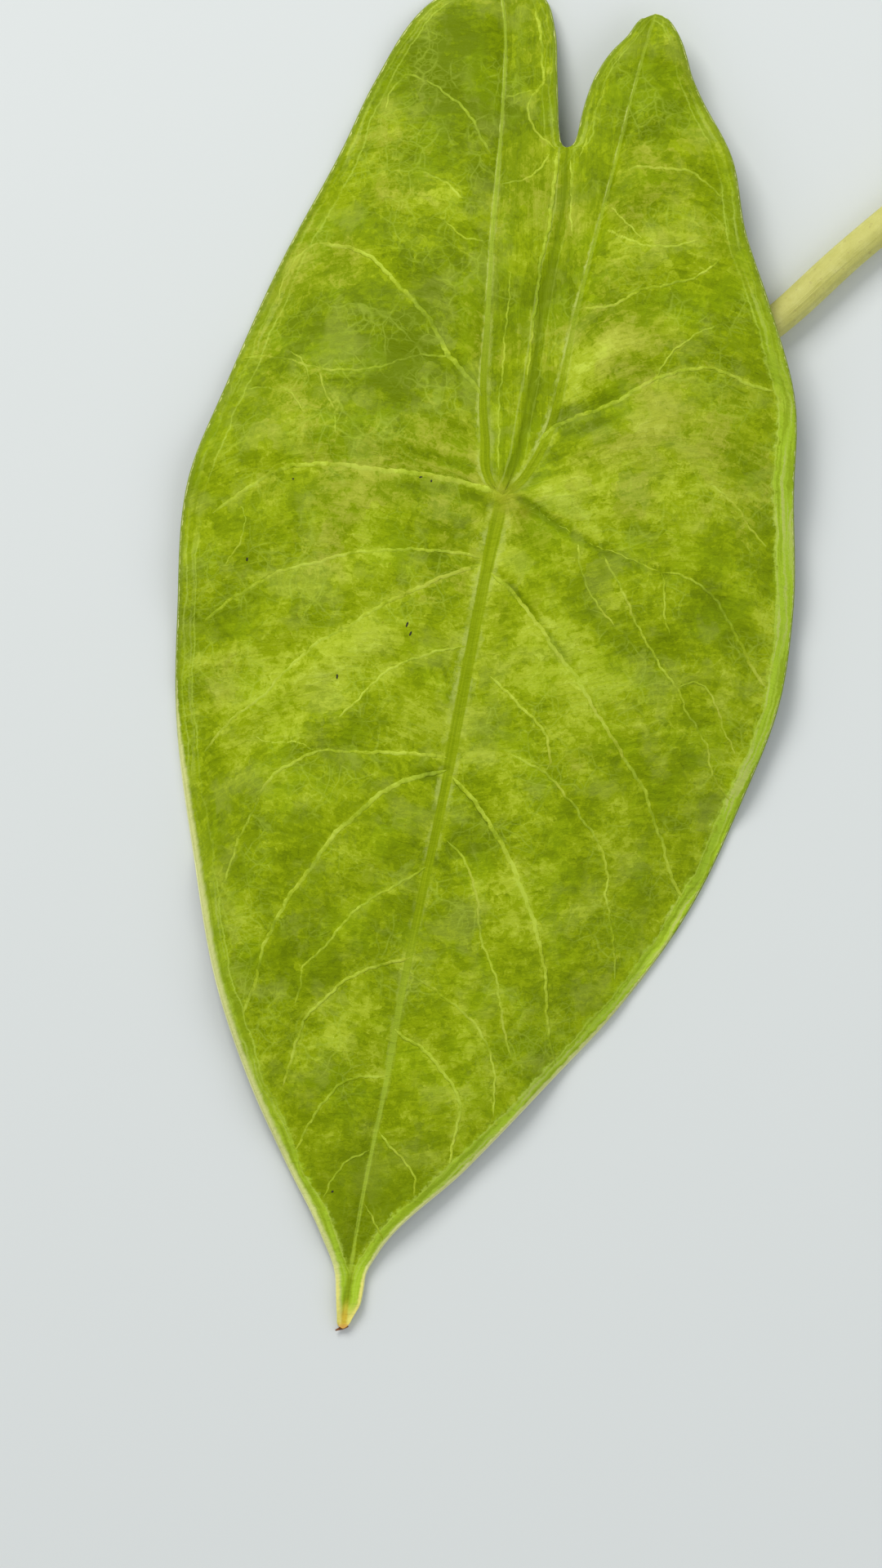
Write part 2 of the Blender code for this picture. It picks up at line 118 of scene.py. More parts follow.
# Side ribs, after and before an end row: (level at the inner rib, level at the margin, bow / length)
LEFT_SIDE_RIBS: list[tuple[float, float, float]] = [
    (-148.0, -148.0, 0.0), (-138.3, -138.3, 0.0), (-116.0, -127.0, 0.08),
    (-103.0, -120.0, 0.10), (-83.0, -111.6, 0.17), (-63.0, -102.0, 0.12),
    (-49.3, -94.5, 0.15), (-45.5, -72.8, 0.22), (-26.8, -56.8, 0.12),
    (-14.6, -45.5, 0.08), (-9.6, -23.5, 0.11), (0.0, -3.5, 0.14), (6.5, 12.0, 0.16),
    (12.5, 25.0, 0.18), (18.8, 41.8, 0.19), (35.0, 50.5, 0.17), (50.0, 59.2, 0.15),
    (60.5, 74.8, 0.13), (72.0, 84.0, 0.08), (92.5, 92.5, 0.0),
]
RIGHT_SIDE_RIBS: list[tuple[float, float, float]] = [
    (-148.0, -148.0, 0.0), (-138.3, -138.3, 0.0), (-113.0, -128.5, 0.10),
    (-95.0, -121.8, 0.19), (-78.6, -112.7, 0.12), (-49.3, -101.0, 0.09),
    (-35.0, -89.5, 0.08), (-14.6, -75.7, 0.08), (-8.0, -57.3, 0.12),
    (0.0, -39.4, 0.14), (5.2, -16.2, 0.15), (12.2, 14.0, 0.17), (22.2, 38.0, 0.15),
    (35.2, 55.0, 0.13), (53.5, 67.9, 0.12), (68.0, 77.3, 0.08), (85.7, 85.7, 0.0),
]

# Clouds of the variegation and of painted light: (x, y, radius, strength), pale above zero and dark below;
# the broad dark clouds over the lobes make the lobes darker
CLOUDS: list[tuple[float, float, float, float]] = [
    (-27.6, -26.4, 9.0, 0.9), (-49.3, -35.0, 7.0, 0.7), (-17.4, -39.4, 6.0, 0.8),
    (-27.6, -4.6, 8.0, 0.4), (-40.6, 9.9, 7.0, 0.5), (-13.0, 9.9, 6.0, 0.4),
    # (16.6, 24.6), (11.2, 16.6) and (13.2, 19.6): painted highlight on the lit swelling beside the rib
    # meeting
    (-31.9, 40.3, 7.0, 0.25), (-18.9, 57.7, 6.0, 0.4), (16.6, 24.6, 4.6, 2.0), (11.2, 16.6, 1.7, 1.5),
    (13.2, 19.6, 2.4, 1.2),
    (21.8, 12.8, 8.0, 0.5), (30.5, -1.7, 9.0, 0.6), (14.5, -3.2, 5.0, 0.9),
    (26.1, 60.6, 6.0, 0.4), (31.9, 41.8, 7.0, 0.5), (10.2, -23.5, 5.0, 0.8),
    (0.5, -32.2, 6.0, 0.5), (17.4, -32.2, 7.0, 0.3), (39.2, -13.3, 4.0, 0.4),
    (-29.6, -56.8, 6.0, 0.6), (-1.9, -49.6, 6.0, 0.4), (-26.1, -71.3, 6.0, 0.4),
    (-8.7, -94.5, 6.0, 0.4), (-27.6, -93.0, 5.0, 0.3), (1.5, -74.2, 4.0, 0.6),
    (21.8, -65.5, 7.0, 0.4), (8.6, -0.2, 3.4, 1.3), (44.7, -20.6, 3.4, 1.3), (-8.0, -3.5, 4.0, 0.4),
    # (-47.5, -75.0): painted sheen, a lit strip low on the left
    (-2.0, 45.0, 4.0, 0.2), (-47.5, -75.0, 4.0, 0.7),
    (-17.4, 20.0, 7.0, -0.8), (-8.7, 80.9, 8.0, -0.8), (36.3, -19.1, 6.5, -0.9),
    (-9.4, -62.6, 4.0, -1.1), (-39.2, -0.3, 6.0, -0.5), (-37.7, -12.9, 7.0, -0.5),
    (24.7, -23.5, 6.0, -0.6), (17.4, -13.3, 4.0, -0.5), (-10.4, 6.4, 3.4, -0.6),
    (40.6, 47.6, 5.0, -0.4), (36.3, 33.0, 6.0, -0.5), (-31.0, -42.3, 6.0, -0.5),
    (-46.4, -58.3, 8.0, -0.4), (-11.6, -76.0, 5.0, -0.5), (-20.3, -64.0, 5.0, -0.4),
    (11.6, -53.9, 6.0, -0.5), (26.1, -71.9, 5.0, -0.5), (8.7, -85.8, 6.0, -0.4),
    (-27.6, 46.7, 6.0, -0.4), (10.2, 34.5, 4.0, -0.4), (-39.2, -83.0, 6.0, -0.5),
    (-36.0, 27.0, 7.0, -0.5), (-9.0, 66.0, 5.0, -0.4), (-30.0, -122.0, 6.0, -0.7),
    (-9.0, 72.0, 14.0, -1.55), (-22.0, 28.0, 14.0, -1.35), (27.0, 66.0, 9.0, -0.90), (3.0, 34.0, 9.0, -0.75),
    (15.0, -24.0, 14.0, 0.85), (-34.0, -28.0, 14.0, 0.40), (-36.0, -62.0, 12.0, -0.20),
    (25.0, 36.0, 11.0, -0.35), (11.0, -70.0, 12.0, 0.25),
    (-22.0, -104.0, 12.0, 0.15), (36.0, -20.0, 6.0, -0.4), (6.0, -75.0, 16.0, 0.05),
    (-6.0, -88.0, 14.0, 0.15),
    (-50.0, 2.0, 6.0, 0.35), (-45.0, 22.0, 7.0, -0.30),
    (-20.0, -126.0, 6.0, -0.5), (44.0, 3.0, 5.0, -0.5),
]
# Low swellings between the veins: (x, y, radius, height)
SWELLINGS: list[tuple[float, float, float, float]] = [
    (15.5, 25.0, 5.5, 0.42), (8.5, -0.4, 3.2, 0.30), (20.0, -4.5, 7.0, 0.40),
    (-13.0, 12.5, 6.0, 0.35), (-28.0, -30.0, 9.0, 0.45), (-47.0, -33.0, 6.0, 0.35),
    (-12.0, -6.0, 5.0, 0.30), (5.0, -27.0, 6.0, 0.30), (20.0, -20.0, 6.0, 0.35),
    (28.0, -40.0, 7.0, 0.35), (-30.0, -58.0, 8.0, 0.35), (6.0, -58.0, 6.0, 0.30),
    (25.0, 56.0, 7.0, 0.45), (-15.0, 48.0, 8.0, 0.40), (-34.0, 10.0, 8.0, 0.35),
]
# Tan patches: (x, y, stretch along x, radius, strength)
TAN_PATCHES: list[tuple[float, float, float, float, float]] = [
    (-16.0, 3.0, 1.6, 9.0, 1.0), (23.0, -2.0, 1.0, 6.0, 0.8), (4.0, -6.0, 1.0, 4.5, 0.6),
    (22.5, 11.0, 1.0, 5.0, 0.5),
]
# Small dark scars on the upper face: (x, y, length, turn in degrees)
SCARS: list[tuple[float, float, float, float]] = [
    (-15.1, 3.3, 0.8, 20.0), (-13.3, 2.6, 0.5, 70.0), (-46.0, -11.2, 0.7, 85.0),
    (-30.0, -32.0, 0.9, 88.0), (-17.6, -22.8, 1.0, 70.0), (-17.0, -24.4, 0.9, 65.0),
    (-30.9, -123.5, 0.5, 40.0), (-37.8, 3.0, 0.4, 10.0),
]


@dataclass(frozen=True)
class Vein:
    """One vein of the upper face.

    Points are in millimetres from the rib meeting. The width, from which Veins works out the
    half width, and the depth of the groove that it lies in run from the vein's start to its end.
    """

    points: Pairs
    width: tuple[float, float]
    groove: tuple[float, float] = (0.14, 0.05)


@dataclass(frozen=True)
class Hollow:
    """A valley of the upper face: its path, half width, depth and how dark the painted shade on its floor is.
    """

    points: Pairs
    width: float
    depth: float
    dark: float


LEFT_VEINS: list[Vein] = [
    Vein([(-2.6, 60.5), (-4.9, 64.4), (-6.5, 67.4), (-8.0, 69.3), (-11.0, 71.8), (-14.4, 74.0)],
         (0.13, 0.08)),
    Vein([(-14.4, 74.0), (-17.5, 75.0), (-20.2, 72.3), (-21.6, 68.4)], (0.09, 0.06)),
    Vein([(-3.2, 52.0), (-7.7, 52.9), (-11.5, 56.0), (-16.0, 58.0)], (0.11, 0.06)),
    Vein([(-3.4, 44.9), (-7.4, 45.8), (-11.2, 49.2)], (0.07, 0.05)),
    Vein([(-4.4, 17.6), (-6.9, 20.9), (-10.9, 25.8), (-14.1, 31.9), (-16.8, 34.9), (-19.6, 37.7),
          (-21.8, 40.6), (-24.5, 42.8), (-28.1, 44.1), (-33.4, 45.2)], (0.26, 0.14), (0.22, 0.08)),
    Vein([(-33.4, 45.2), (-36.8, 43.0), (-39.4, 38.6), (-40.8, 34.0)], (0.10, 0.06)),
    Vein([(-9.0, 24.4), (-15.5, 24.9), (-21.0, 23.2), (-26.5, 22.4), (-33.2, 22.6), (-37.0, 23.9),
          (-43.2, 24.8), (-46.6, 24.8)], (0.08, 0.10)),
    Vein([(-33.2, 22.6), (-32.4, 19.1), (-30.6, 15.8), (-30.3, 10.9)], (0.09, 0.06)),
    Vein([(-46.6, 19.1), (-42.1, 19.3), (-38.4, 18.3), (-35.8, 14.6)], (0.08, 0.05)),
    Vein([(-38.6, 26.0), (-36.2, 24.0), (-35.2, 20.8), (-36.6, 18.2)], (0.07, 0.05)),
    Vein([(-2.2, 0.6), (-8.7, 2.6), (-16.5, 3.9), (-24.8, 4.8), (-34.5, 5.7), (-38.7, 5.1),
          (-43.2, 3.2), (-47.7, 0.1), (-52.2, -3.0)], (0.30, 0.12), (0.34, 0.10)),
    Vein([(-47.7, 0.1), (-46.4, -4.0), (-47.4, -8.6), (-50.2, -12.4)], (0.07, 0.05)),
    Vein([(-4.4, -11.1), (-7.4, -10.3), (-16.5, -9.6), (-27.6, -10.2), (-33.6, -11.7), (-40.2, -13.5),
          (-43.6, -15.1), (-47.0, -17.1), (-49.7, -19.0), (-54.0, -22.4)], (0.12, 0.12), (0.22, 0.08)),
    Vein([(-4.4, -12.1), (-12.5, -14.9), (-18.6, -17.7), (-24.9, -21.0), (-29.0, -23.8), (-33.2, -25.8),
          (-37.3, -29.4), (-40.2, -32.2), (-42.9, -35.1), (-47.0, -38.3), (-50.0, -40.9), (-54.0, -45.8)],
         (0.17, 0.10), (0.22, 0.08)),
    Vein([(-6.5, -26.4), (-13.0, -27.8), (-19.3, -30.0), (-23.5, -33.1), (-27.6, -37.3), (-30.2, -39.7)],
         (0.10, 0.06)),
    Vein([(-10.4, -46.4), (-17.0, -45.6), (-24.2, -45.5), (-30.5, -45.1), (-33.2, -45.2), (-36.8, -46.7),
          (-39.9, -48.3), (-41.8, -50.0), (-43.2, -52.2), (-44.5, -55.0), (-47.0, -59.9), (-48.4, -63.8),
          (-51.6, -72.4)], (0.14, 0.10)),
    Vein([(-33.2, -45.2), (-37.4, -43.6), (-41.6, -43.8), (-45.4, -42.0)], (0.07, 0.05)),
    Vein([(-10.6, -48.6), (-14.2, -49.3), (-17.0, -50.0), (-19.7, -51.2), (-22.0, -52.6), (-24.2, -54.2),
          (-26.1, -56.0), (-29.1, -58.6), (-33.6, -64.2), (-36.0, -67.9), (-38.1, -70.5), (-40.3, -74.0),
          (-42.1, -77.9), (-43.6, -81.8), (-44.5, -86.0), (-45.7, -89.3), (-46.9, -92.0)],
         (0.24, 0.12), (0.26, 0.08)),
    Vein([(-13.8, -65.5), (-20.5, -69.5), (-27.6, -74.1), (-30.9, -78.4), (-32.9, -80.6), (-36.0, -83.2),
          (-36.5, -86.9), (-37.6, -90.3)], (0.10, 0.07)),
    Vein([(-16.9, -81.8), (-23.5, -83.5), (-26.2, -84.4), (-29.0, -86.0), (-32.6, -89.6), (-34.8, -91.2),
          (-36.2, -93.5), (-37.0, -96.3), (-38.1, -99.6), (-39.8, -105.0)], (0.15, 0.09)),
    Vein([(-21.2, -103.0), (-25.0, -102.9), (-28.0, -103.5), (-31.3, -106.1), (-33.4, -108.6),
          (-34.7, -110.8), (-35.8, -113.1), (-37.6, -116.4)], (0.13, 0.08)),
    Vein([(-24.0, -116.0), (-27.4, -117.4), (-30.4, -120.6), (-32.6, -124.6)], (0.10, 0.06)),
]
RIGHT_VEINS: list[Vein] = [
    Vein([(20.2, 57.0), (24.0, 58.2), (27.6, 58.0), (31.9, 57.6), (35.5, 55.4), (38.4, 52.8)], (0.12, 0.07)),
    Vein([(17.2, 52.0), (21.0, 48.6), (24.2, 45.4)], (0.08, 0.05)),
    Vein([(16.9, 47.3), (19.1, 46.4), (22.2, 45.1), (25.7, 44.2), (30.2, 44.2), (34.5, 45.6)], (0.12, 0.06)),
    Vein([(13.0, 33.1), (18.6, 33.6), (21.3, 34.9), (23.1, 36.3), (27.6, 37.1), (33.0, 38.6), (38.6, 42.4)],
         (0.13, 0.06)),
    Vein([(5.6, 9.4), (8.2, 11.9), (11.7, 13.6), (16.5, 15.2), (19.9, 16.9), (23.1, 18.9), (26.4, 20.6),
          (31.5, 22.3), (36.5, 22.5), (40.2, 21.2), (44.5, 19.3), (47.6, 18.6)], (0.18, 0.12), (0.30, 0.08)),
    Vein([(26.4, 20.6), (29.0, 25.0), (33.6, 28.6), (39.8, 30.8)], (0.08, 0.05)),
    Vein([(2.4, -0.7), (4.4, -2.0), (8.6, -4.9), (12.6, -7.3), (16.8, -9.2), (21.0, -10.9), (25.1, -12.6),
          (27.4, -13.6)], (0.02, 0.05), (0.36, 0.14)),
    Vein([(27.4, -13.6), (27.7, -15.2), (28.0, -20.7), (28.9, -24.7)], (0.11, 0.07)),
    Vein([(27.4, -13.6), (31.0, -14.0), (34.8, -16.2), (39.4, -22.2), (40.9, -24.9), (43.5, -30.3),
          (46.0, -33.9)], (0.08, 0.13)),
    Vein([(36.0, 2.4), (40.7, -1.9), (42.6, -4.9), (46.6, -9.4)], (0.08, 0.06)),
    Vein([(12.6, -8.2), (13.2, -13.4), (15.9, -18.9), (19.2, -23.2)], (0.09, 0.06)),
    Vein([(17.0, -10.4), (20.0, -16.0), (25.8, -27.8), (28.6, -31.9), (30.2, -33.9), (31.6, -37.8),
          (33.8, -40.9), (35.5, -44.2), (36.2, -48.3), (40.0, -54.4)], (0.09, 0.08)),
    Vein([(30.2, -33.9), (33.6, -33.0), (37.0, -36.6), (38.8, -42.0), (41.0, -46.4)], (0.07, 0.05)),
    Vein([(-2.8, -13.6), (1.2, -17.3), (3.6, -20.3), (6.2, -23.9), (8.6, -27.4), (11.2, -30.6),
          (15.3, -37.4), (19.4, -44.1), (21.6, -47.6), (23.8, -51.0), (26.2, -57.6), (27.7, -61.5),
          (28.3, -64.5), (29.3, -67.3), (31.4, -71.6)], (0.18, 0.12), (0.28, 0.10)),
    Vein([(-3.0, -31.8), (1.6, -36.3), (3.9, -38.6), (6.1, -41.0), (7.5, -44.7), (7.8, -47.1), (7.0, -48.8)],
         (0.13, 0.08)),
    Vein([(0.6, -45.6), (4.4, -47.6), (6.8, -49.0), (8.6, -50.9), (10.7, -53.4), (11.9, -54.5),
          (13.5, -57.4), (15.7, -60.6), (17.1, -63.5), (17.8, -65.7), (18.0, -67.6), (17.5, -70.6),
          (18.3, -74.5), (18.9, -77.9), (19.1, -81.5), (19.3, -86.4)], (0.10, 0.08)),
    Vein([(-9.6, -49.8), (-8.4, -50.9), (-5.9, -53.7), (-3.9, -56.6), (-1.7, -60.0), (0.4, -64.2),
          (2.5, -69.0), (4.1, -73.4), (5.5, -78.2), (6.5, -82.5), (7.0, -89.6), (7.3, -93.1),
          (7.7, -97.4), (8.8, -100.8)], (0.24, 0.12), (0.28, 0.08)),
    Vein([(-10.6, -61.0), (-7.5, -64.4), (-5.7, -69.0), (-4.5, -77.9), (-3.3, -81.8), (-2.0, -85.1),
          (-1.0, -90.2), (-0.4, -95.3), (0.9, -99.6)], (0.10, 0.08)),
    Vein([(-17.6, -84.6), (-13.1, -87.3), (-7.7, -91.6), (-4.9, -94.7), (-2.9, -98.6), (-2.3, -102.2),
          (-2.3, -110.4)], (0.11, 0.07)),
    Vein([(-20.0, -94.4), (-17.4, -96.4), (-14.9, -98.0), (-12.5, -100.6), (-10.0, -103.7), (-8.6, -106.4),
          (-8.3, -109.0), (-9.3, -114.1), (-10.2, -119.0)], (0.17, 0.09)),
    Vein([(-22.7, -112.8), (-20.3, -115.6), (-17.4, -118.9), (-16.4, -121.1), (-16.4, -125.0)], (0.13, 0.07)),
    Vein([(-25.2, -125.8), (-23.1, -129.2), (-21.9, -132.4)], (0.10, 0.06)),
]
WEDGE_VEINS: list[Vein] = [
    Vein([(9.0, 61.0), (8.3, 53.5), (7.1, 46.0), (5.9, 40.3), (5.1, 32.8), (4.2, 26.1), (3.6, 20.5)],
         (0.15, 0.07), (-0.16, -0.04)),
    Vein([(11.4, 59.6), (11.5, 52.6), (11.6, 46.1)], (0.10, 0.06), (-0.10, 0.0)),
    Vein([(5.1, 86.7), (6.0, 82.5), (6.4, 78.0), (6.4, 73.1), (4.1, 70.5), (4.6, 66.0), (8.8, 61.4)],
         (0.12, 0.07)),
    Vein([(6.4, 72.6), (2.6, 71.4), (-0.6, 71.0)], (0.07, 0.05)),
    Vein([(7.9, 61.0), (5.2, 57.4), (1.6, 55.8), (-1.4, 55.2)], (0.08, 0.05)),
    Vein([(17.7, 73.1), (16.4, 69.5), (15.1, 66.0), (13.8, 62.4), (12.9, 60.0)], (0.10, 0.07)),
    Vein([(-1.4, 4.4), (-1.4, 14.0), (-0.4, 26.0), (0.8, 40.0)], (0.07, 0.05), (0.10, 0.04)),
]
# Valleys of the upper face, each with painted shade along its floor
HOLLOWS: list[Hollow] = [
    Hollow([(-3.0, -0.9), (-8.7, 0.2), (-14.0, 1.2), (-19.6, 2.0)], 1.4, 0.42, 0.85),
    Hollow([(9.6, 13.4), (12.0, 14.6), (15.5, 15.9), (18.5, 17.3), (21.5, 19.4)], 1.5, 0.50, 1.35),
    Hollow([(10.5, 11.2), (15.0, 12.4), (19.0, 13.8), (23.0, 15.8)], 1.1, 0.22, 0.75),
    Hollow([(3.4, 1.2), (6.6, 5.0), (9.4, 8.4)], 1.2, 0.15, 0.35),
    Hollow([(-6.4, 5.0), (-11.5, 6.4), (-18.5, 8.8)], 0.9, 0.22, 0.65),
    Hollow([(2.6, -0.8), (8.6, -5.3), (16.8, -9.8), (25.1, -13.1), (28.0, -13.9)], 0.72, 0.48, 1.25),
    Hollow([(-5.6, -12.2), (-10.5, -11.0), (-16.2, -10.6)], 0.9, 0.28, 0.7),
    Hollow([(0.4, -15.9), (3.9, -20.0), (9.1, -26.9), (13.0, -32.6)], 0.5, 0.28, 0.8),
    Hollow([(12.0, -19.0), (19.0, -25.0), (24.0, -29.5), (31.0, -36.0)], 3.0, 0.20, 0.7),
    Hollow([(0.6, 3.6), (3.5, 12.5), (6.6, 33.0), (9.6, 48.0), (10.6, 61.0)], 0.85, 0.40, 1.0),
    Hollow([(-3.0, 3.8), (-3.2, 10.0), (-2.4, 22.0), (-1.9, 34.0), (-1.2, 46.0)], 0.65, 0.0, 0.6),
    Hollow([(-11.0, -48.8), (-16.0, -50.4)], 0.6, 0.20, 0.5),
    Hollow([(-9.2, -51.2), (-5.7, -55.0), (-1.6, -61.5)], 0.6, 0.20, 0.5),
    Hollow([(-6.0, 21.2), (-10.0, 26.6), (-13.4, 33.0)], 0.9, 0.15, 0.25),
]
# How far the margin's band is lime, by level along the leaf
LEFT_LIME: Pairs = [(-148, 1.0), (-122, 0.95), (-108, 0.45), (-84, 0.30), (-56, 0.05), (92.5, 0.0)]
RIGHT_LIME: Pairs = [(-148, 1.0), (8, 1.0), (26, 0.45), (40, 0.15), (60, 0.10), (85.7, 0.0)]
# The band's width, by level along the leaf
LEFT_BAND: Pairs = [(-148, 2.3), (-118, 2.2), (-90, 2.6), (30, 3.0), (70, 2.4), (92.5, 1.8)]
RIGHT_BAND: Pairs = [(-148, 2.1), (-118, 1.9), (-85, 1.8), (-60, 2.3), (4, 2.8), (50, 2.8), (85.7, 1.7)]
# Half width of the midrib and of the lobe ribs, by level along the leaf
MIDRIB_WIDTH: Pairs = [
    (-148, 0.16), (-135, 0.30), (-115, 0.42), (-95, 0.58), (-75, 0.80), (-50, 1.05), (-25, 1.18),
    (-6, 1.25), (0, 1.18),
]
LOBE_RIB_WIDTH: Pairs = [(0, 1.05), (6, 1.05), (16, 1.00), (26, 0.78), (38, 0.50), (60, 0.34), (92.5, 0.20)]


class Side(Enum):
    """The two halves of the blade, by the sign of X."""

    LEFT = -1
    RIGHT = 1


class Skin(Enum):
    """The faces of the blade, by material index."""

    UPPER = 0
    UNDER = 1


def smooth_curve(points: Pairs, samples: int = 600) -> Array:
    """Pass a smooth curve through points.

    Each coordinate is a cubic whose slope at a point is the mean slope to its neighbours.

    Args:
        points: The points, in order.
        samples: How many evenly parted samples to return.

    Returns:
        The samples, one row each.
    """
    given = np.array(points, float)
    chord = np.linalg.norm(np.diff(given, axis=0), axis=1)
    along = np.concatenate(([0.0], np.cumsum(chord)))
    slopes = np.gradient(given, along, axis=0)
    fine = np.linspace(0.0, along[-1], samples)
    span = np.clip(np.searchsorted(along, fine, side="right") - 1, 0, len(chord) - 1)
    length = chord[span][:, None]
    part = (fine - along[span])[:, None] / length
    return (
        (2 * part**3 - 3 * part**2 + 1) * given[span]
        + (part**3 - 2 * part**2 + part) * length * slopes[span]
        + (3 * part**2 - 2 * part**3) * given[span + 1]
        + (part**3 - part**2) * length * slopes[span + 1]
    )


def at_level(line: Array, y: Array) -> Array:
    """Return the plan points of a climbing line at levels y along the leaf."""
    climb = np.maximum.accumulate(line[:, 1])
    return np.stack([np.interp(y, climb, line[:, 0]), y], axis=-1)


def hill(distance: Array, width: float) -> Array:
    """Return a bell that is 1 at distance 0 and falls off over width."""
    return np.exp(-((distance / width) ** 2))


@dataclass
class SheetPoint:
    """Places on the blade, all arrays of one shape, in millimetres."""

    plan: Array
    height: Array
    thick: Array
    to_margin: Array
    to_rib: Array
    level: Array
    grain: Array
    inside: Array
    fold: Array

    def upper(self) -> Array:
        """Return points on the upper face, in metres."""
        height = np.maximum(self.height, self.thick)
        return np.concatenate([self.plan + RIB_MEETING, height[..., None]], axis=-1) * MM

    def under(self) -> Array:
        """Return points on the lower face, in metres."""
        height = np.maximum(self.height, self.thick) - self.thick
        return np.concatenate([self.plan + RIB_MEETING, height[..., None]], axis=-1) * MM


def path_distance(plan: Array, path: Array) -> tuple[Array, Array]:
    """Return the distance of plan points to a path, and the share along it.

    For each stretch of the path it is the distance to the nearest point of that stretch,
    and the least of these counts.

    Args:
        plan: The points, one row each.
        path: The path's points, in order.

    Returns:
        The distances, and the shares from 0 at the path's start to 1 at its end.
    """
    lengths = np.linalg.norm(np.diff(path, axis=0), axis=1)
    starts = np.concatenate(([0.0], np.cumsum(lengths)))
    best = np.full(len(plan), np.inf)
    along = np.zeros(len(plan))
    for first, second, start, length in zip(path[:-1], path[1:], starts, lengths):
        stretch = second - first
        share = np.clip((plan - first) @ stretch / length**2, 0.0, 1.0)
        gap = np.linalg.norm(plan - first - share[:, None] * stretch, axis=1)
        nearer = gap < best
        best = np.where(nearer, gap, best)
        along = np.where(nearer, start + share * length, along)
    return best, along / starts[-1]


@dataclass
class PlanMap:
    """One value over the leaf's plan, on even square cells."""

    cell: float = 0.3
    low: tuple[float, float] = (-63.0, -152.0)
    high: tuple[float, float] = (56.0, 97.0)

    def __post_init__(self) -> None:
        """Lay out the cells."""
        counts = [math.ceil((b - a) / self.cell) + 1 for a, b in zip(self.low, self.high)]
        axes = [a + self.cell * np.arange(count) for a, count in zip(self.low, counts)]
        self.places = np.stack(np.meshgrid(*axes, indexing="ij"), axis=-1)
        self.values = np.zeros(self.places.shape[:2])

    def near(self, path: Array, reach: float) -> tuple[slice, slice]:
        """Return the block of cells within reach of a path.

        Args:
            path: The path's points.
            reach: How far from the path.

        Returns:
            The block, as two slices.
        """
        low = np.floor((path.min(axis=0) - reach - self.low) / self.cell).astype(int)
        high = np.ceil((path.max(axis=0) + reach - self.low) / self.cell).astype(int)
        low = np.clip(low, 0, None)
        return slice(low[0], high[0] + 1), slice(low[1], high[1] + 1)

    def read(self, plan: Array) -> Array:
        """Return the value at plan points, blended between the four nearest cells.

        Args:
            plan: Plan points, in millimetres from the rib meeting.

        Returns:
            The values.
        """
        at = (plan - self.low) / self.cell
        top = np.array(self.values.shape) - 2
        base = np.clip(np.floor(at).astype(int), 0, top)
        part = np.clip(at - base, 0.0, 1.0)
        i, j = base[..., 0], base[..., 1]
        u, v = part[..., 0], part[..., 1]
        lower = self.values[i, j] * (1.0 - u) + self.values[i + 1, j] * u
        upper = self.values[i, j + 1] * (1.0 - u) + self.values[i + 1, j + 1] * u
        return lower * (1.0 - v) + upper * v


class Relief:
    """The veins' grooves, the valleys and the swellings of the upper face, and the painted shade of the
    valleys, by plan position.
    """

    vein_groove_width: float = 0.75
    vein_paleness: float = 1.9
    hollow_end_depth: float = 0.4
    hollow_end_dark: float = 0.5

    def __init__(self) -> None:
        """Work the relief out once, on two plan maps."""
        self.height = PlanMap()
        self.shade = PlanMap()
        for vein in LEFT_VEINS + RIGHT_VEINS + WEDGE_VEINS:
            pale = tuple(-self.vein_paleness * width for width in vein.width)
            self.cut(vein.points, self.vein_groove_width, vein.groove, pale)
        for hollow in HOLLOWS:
            depth = (hollow.depth, self.hollow_end_depth * hollow.depth)
            dark = (hollow.dark, self.hollow_end_dark * hollow.dark)
            self.cut(hollow.points, hollow.width, depth, dark)
        for x, y, radius, rise in SWELLINGS:
            distance = np.hypot(self.height.places[..., 0] - x, self.height.places[..., 1] - y)
            self.height.values += rise * hill(distance, radius)

    def cut(self, points: Pairs, width: float, depth: tuple[float, float], dark: tuple[float, float]) -> None:
        """Cut one groove and paint shade on its floor, both by a bell of the distance to its path.

        Args:
            points: The groove's path.
            width: Its half width.
            depth: Its depth at the start and at the end.
            dark: Its painted shade at the start and at the end; below zero it is pale instead.
        """
        path = smooth_curve(points, 40)
        block = self.height.near(path, 3.0 * width)
        places = self.height.places[block]
        distance, share = path_distance(places.reshape(-1, 2), path)
        bell = (hill(distance, width) * np.clip((1.0 - share) * 6.0, 0.3, 1.0)).reshape(places.shape[:2])
        share = share.reshape(places.shape[:2])
        self.height.values[block] -= (depth[0] + (depth[1] - depth[0]) * share) * bell
        shade = (dark[0] + (dark[1] - dark[0]) * share) * bell
        before = self.shade.values[block]
        self.shade.values[block] = np.where(shade < 0.0, before + shade, np.maximum(before, shade))

    def rise(self, plan: Array) -> Array:
        """Return the height that the relief adds at plan points."""
        return self.height.read(plan)


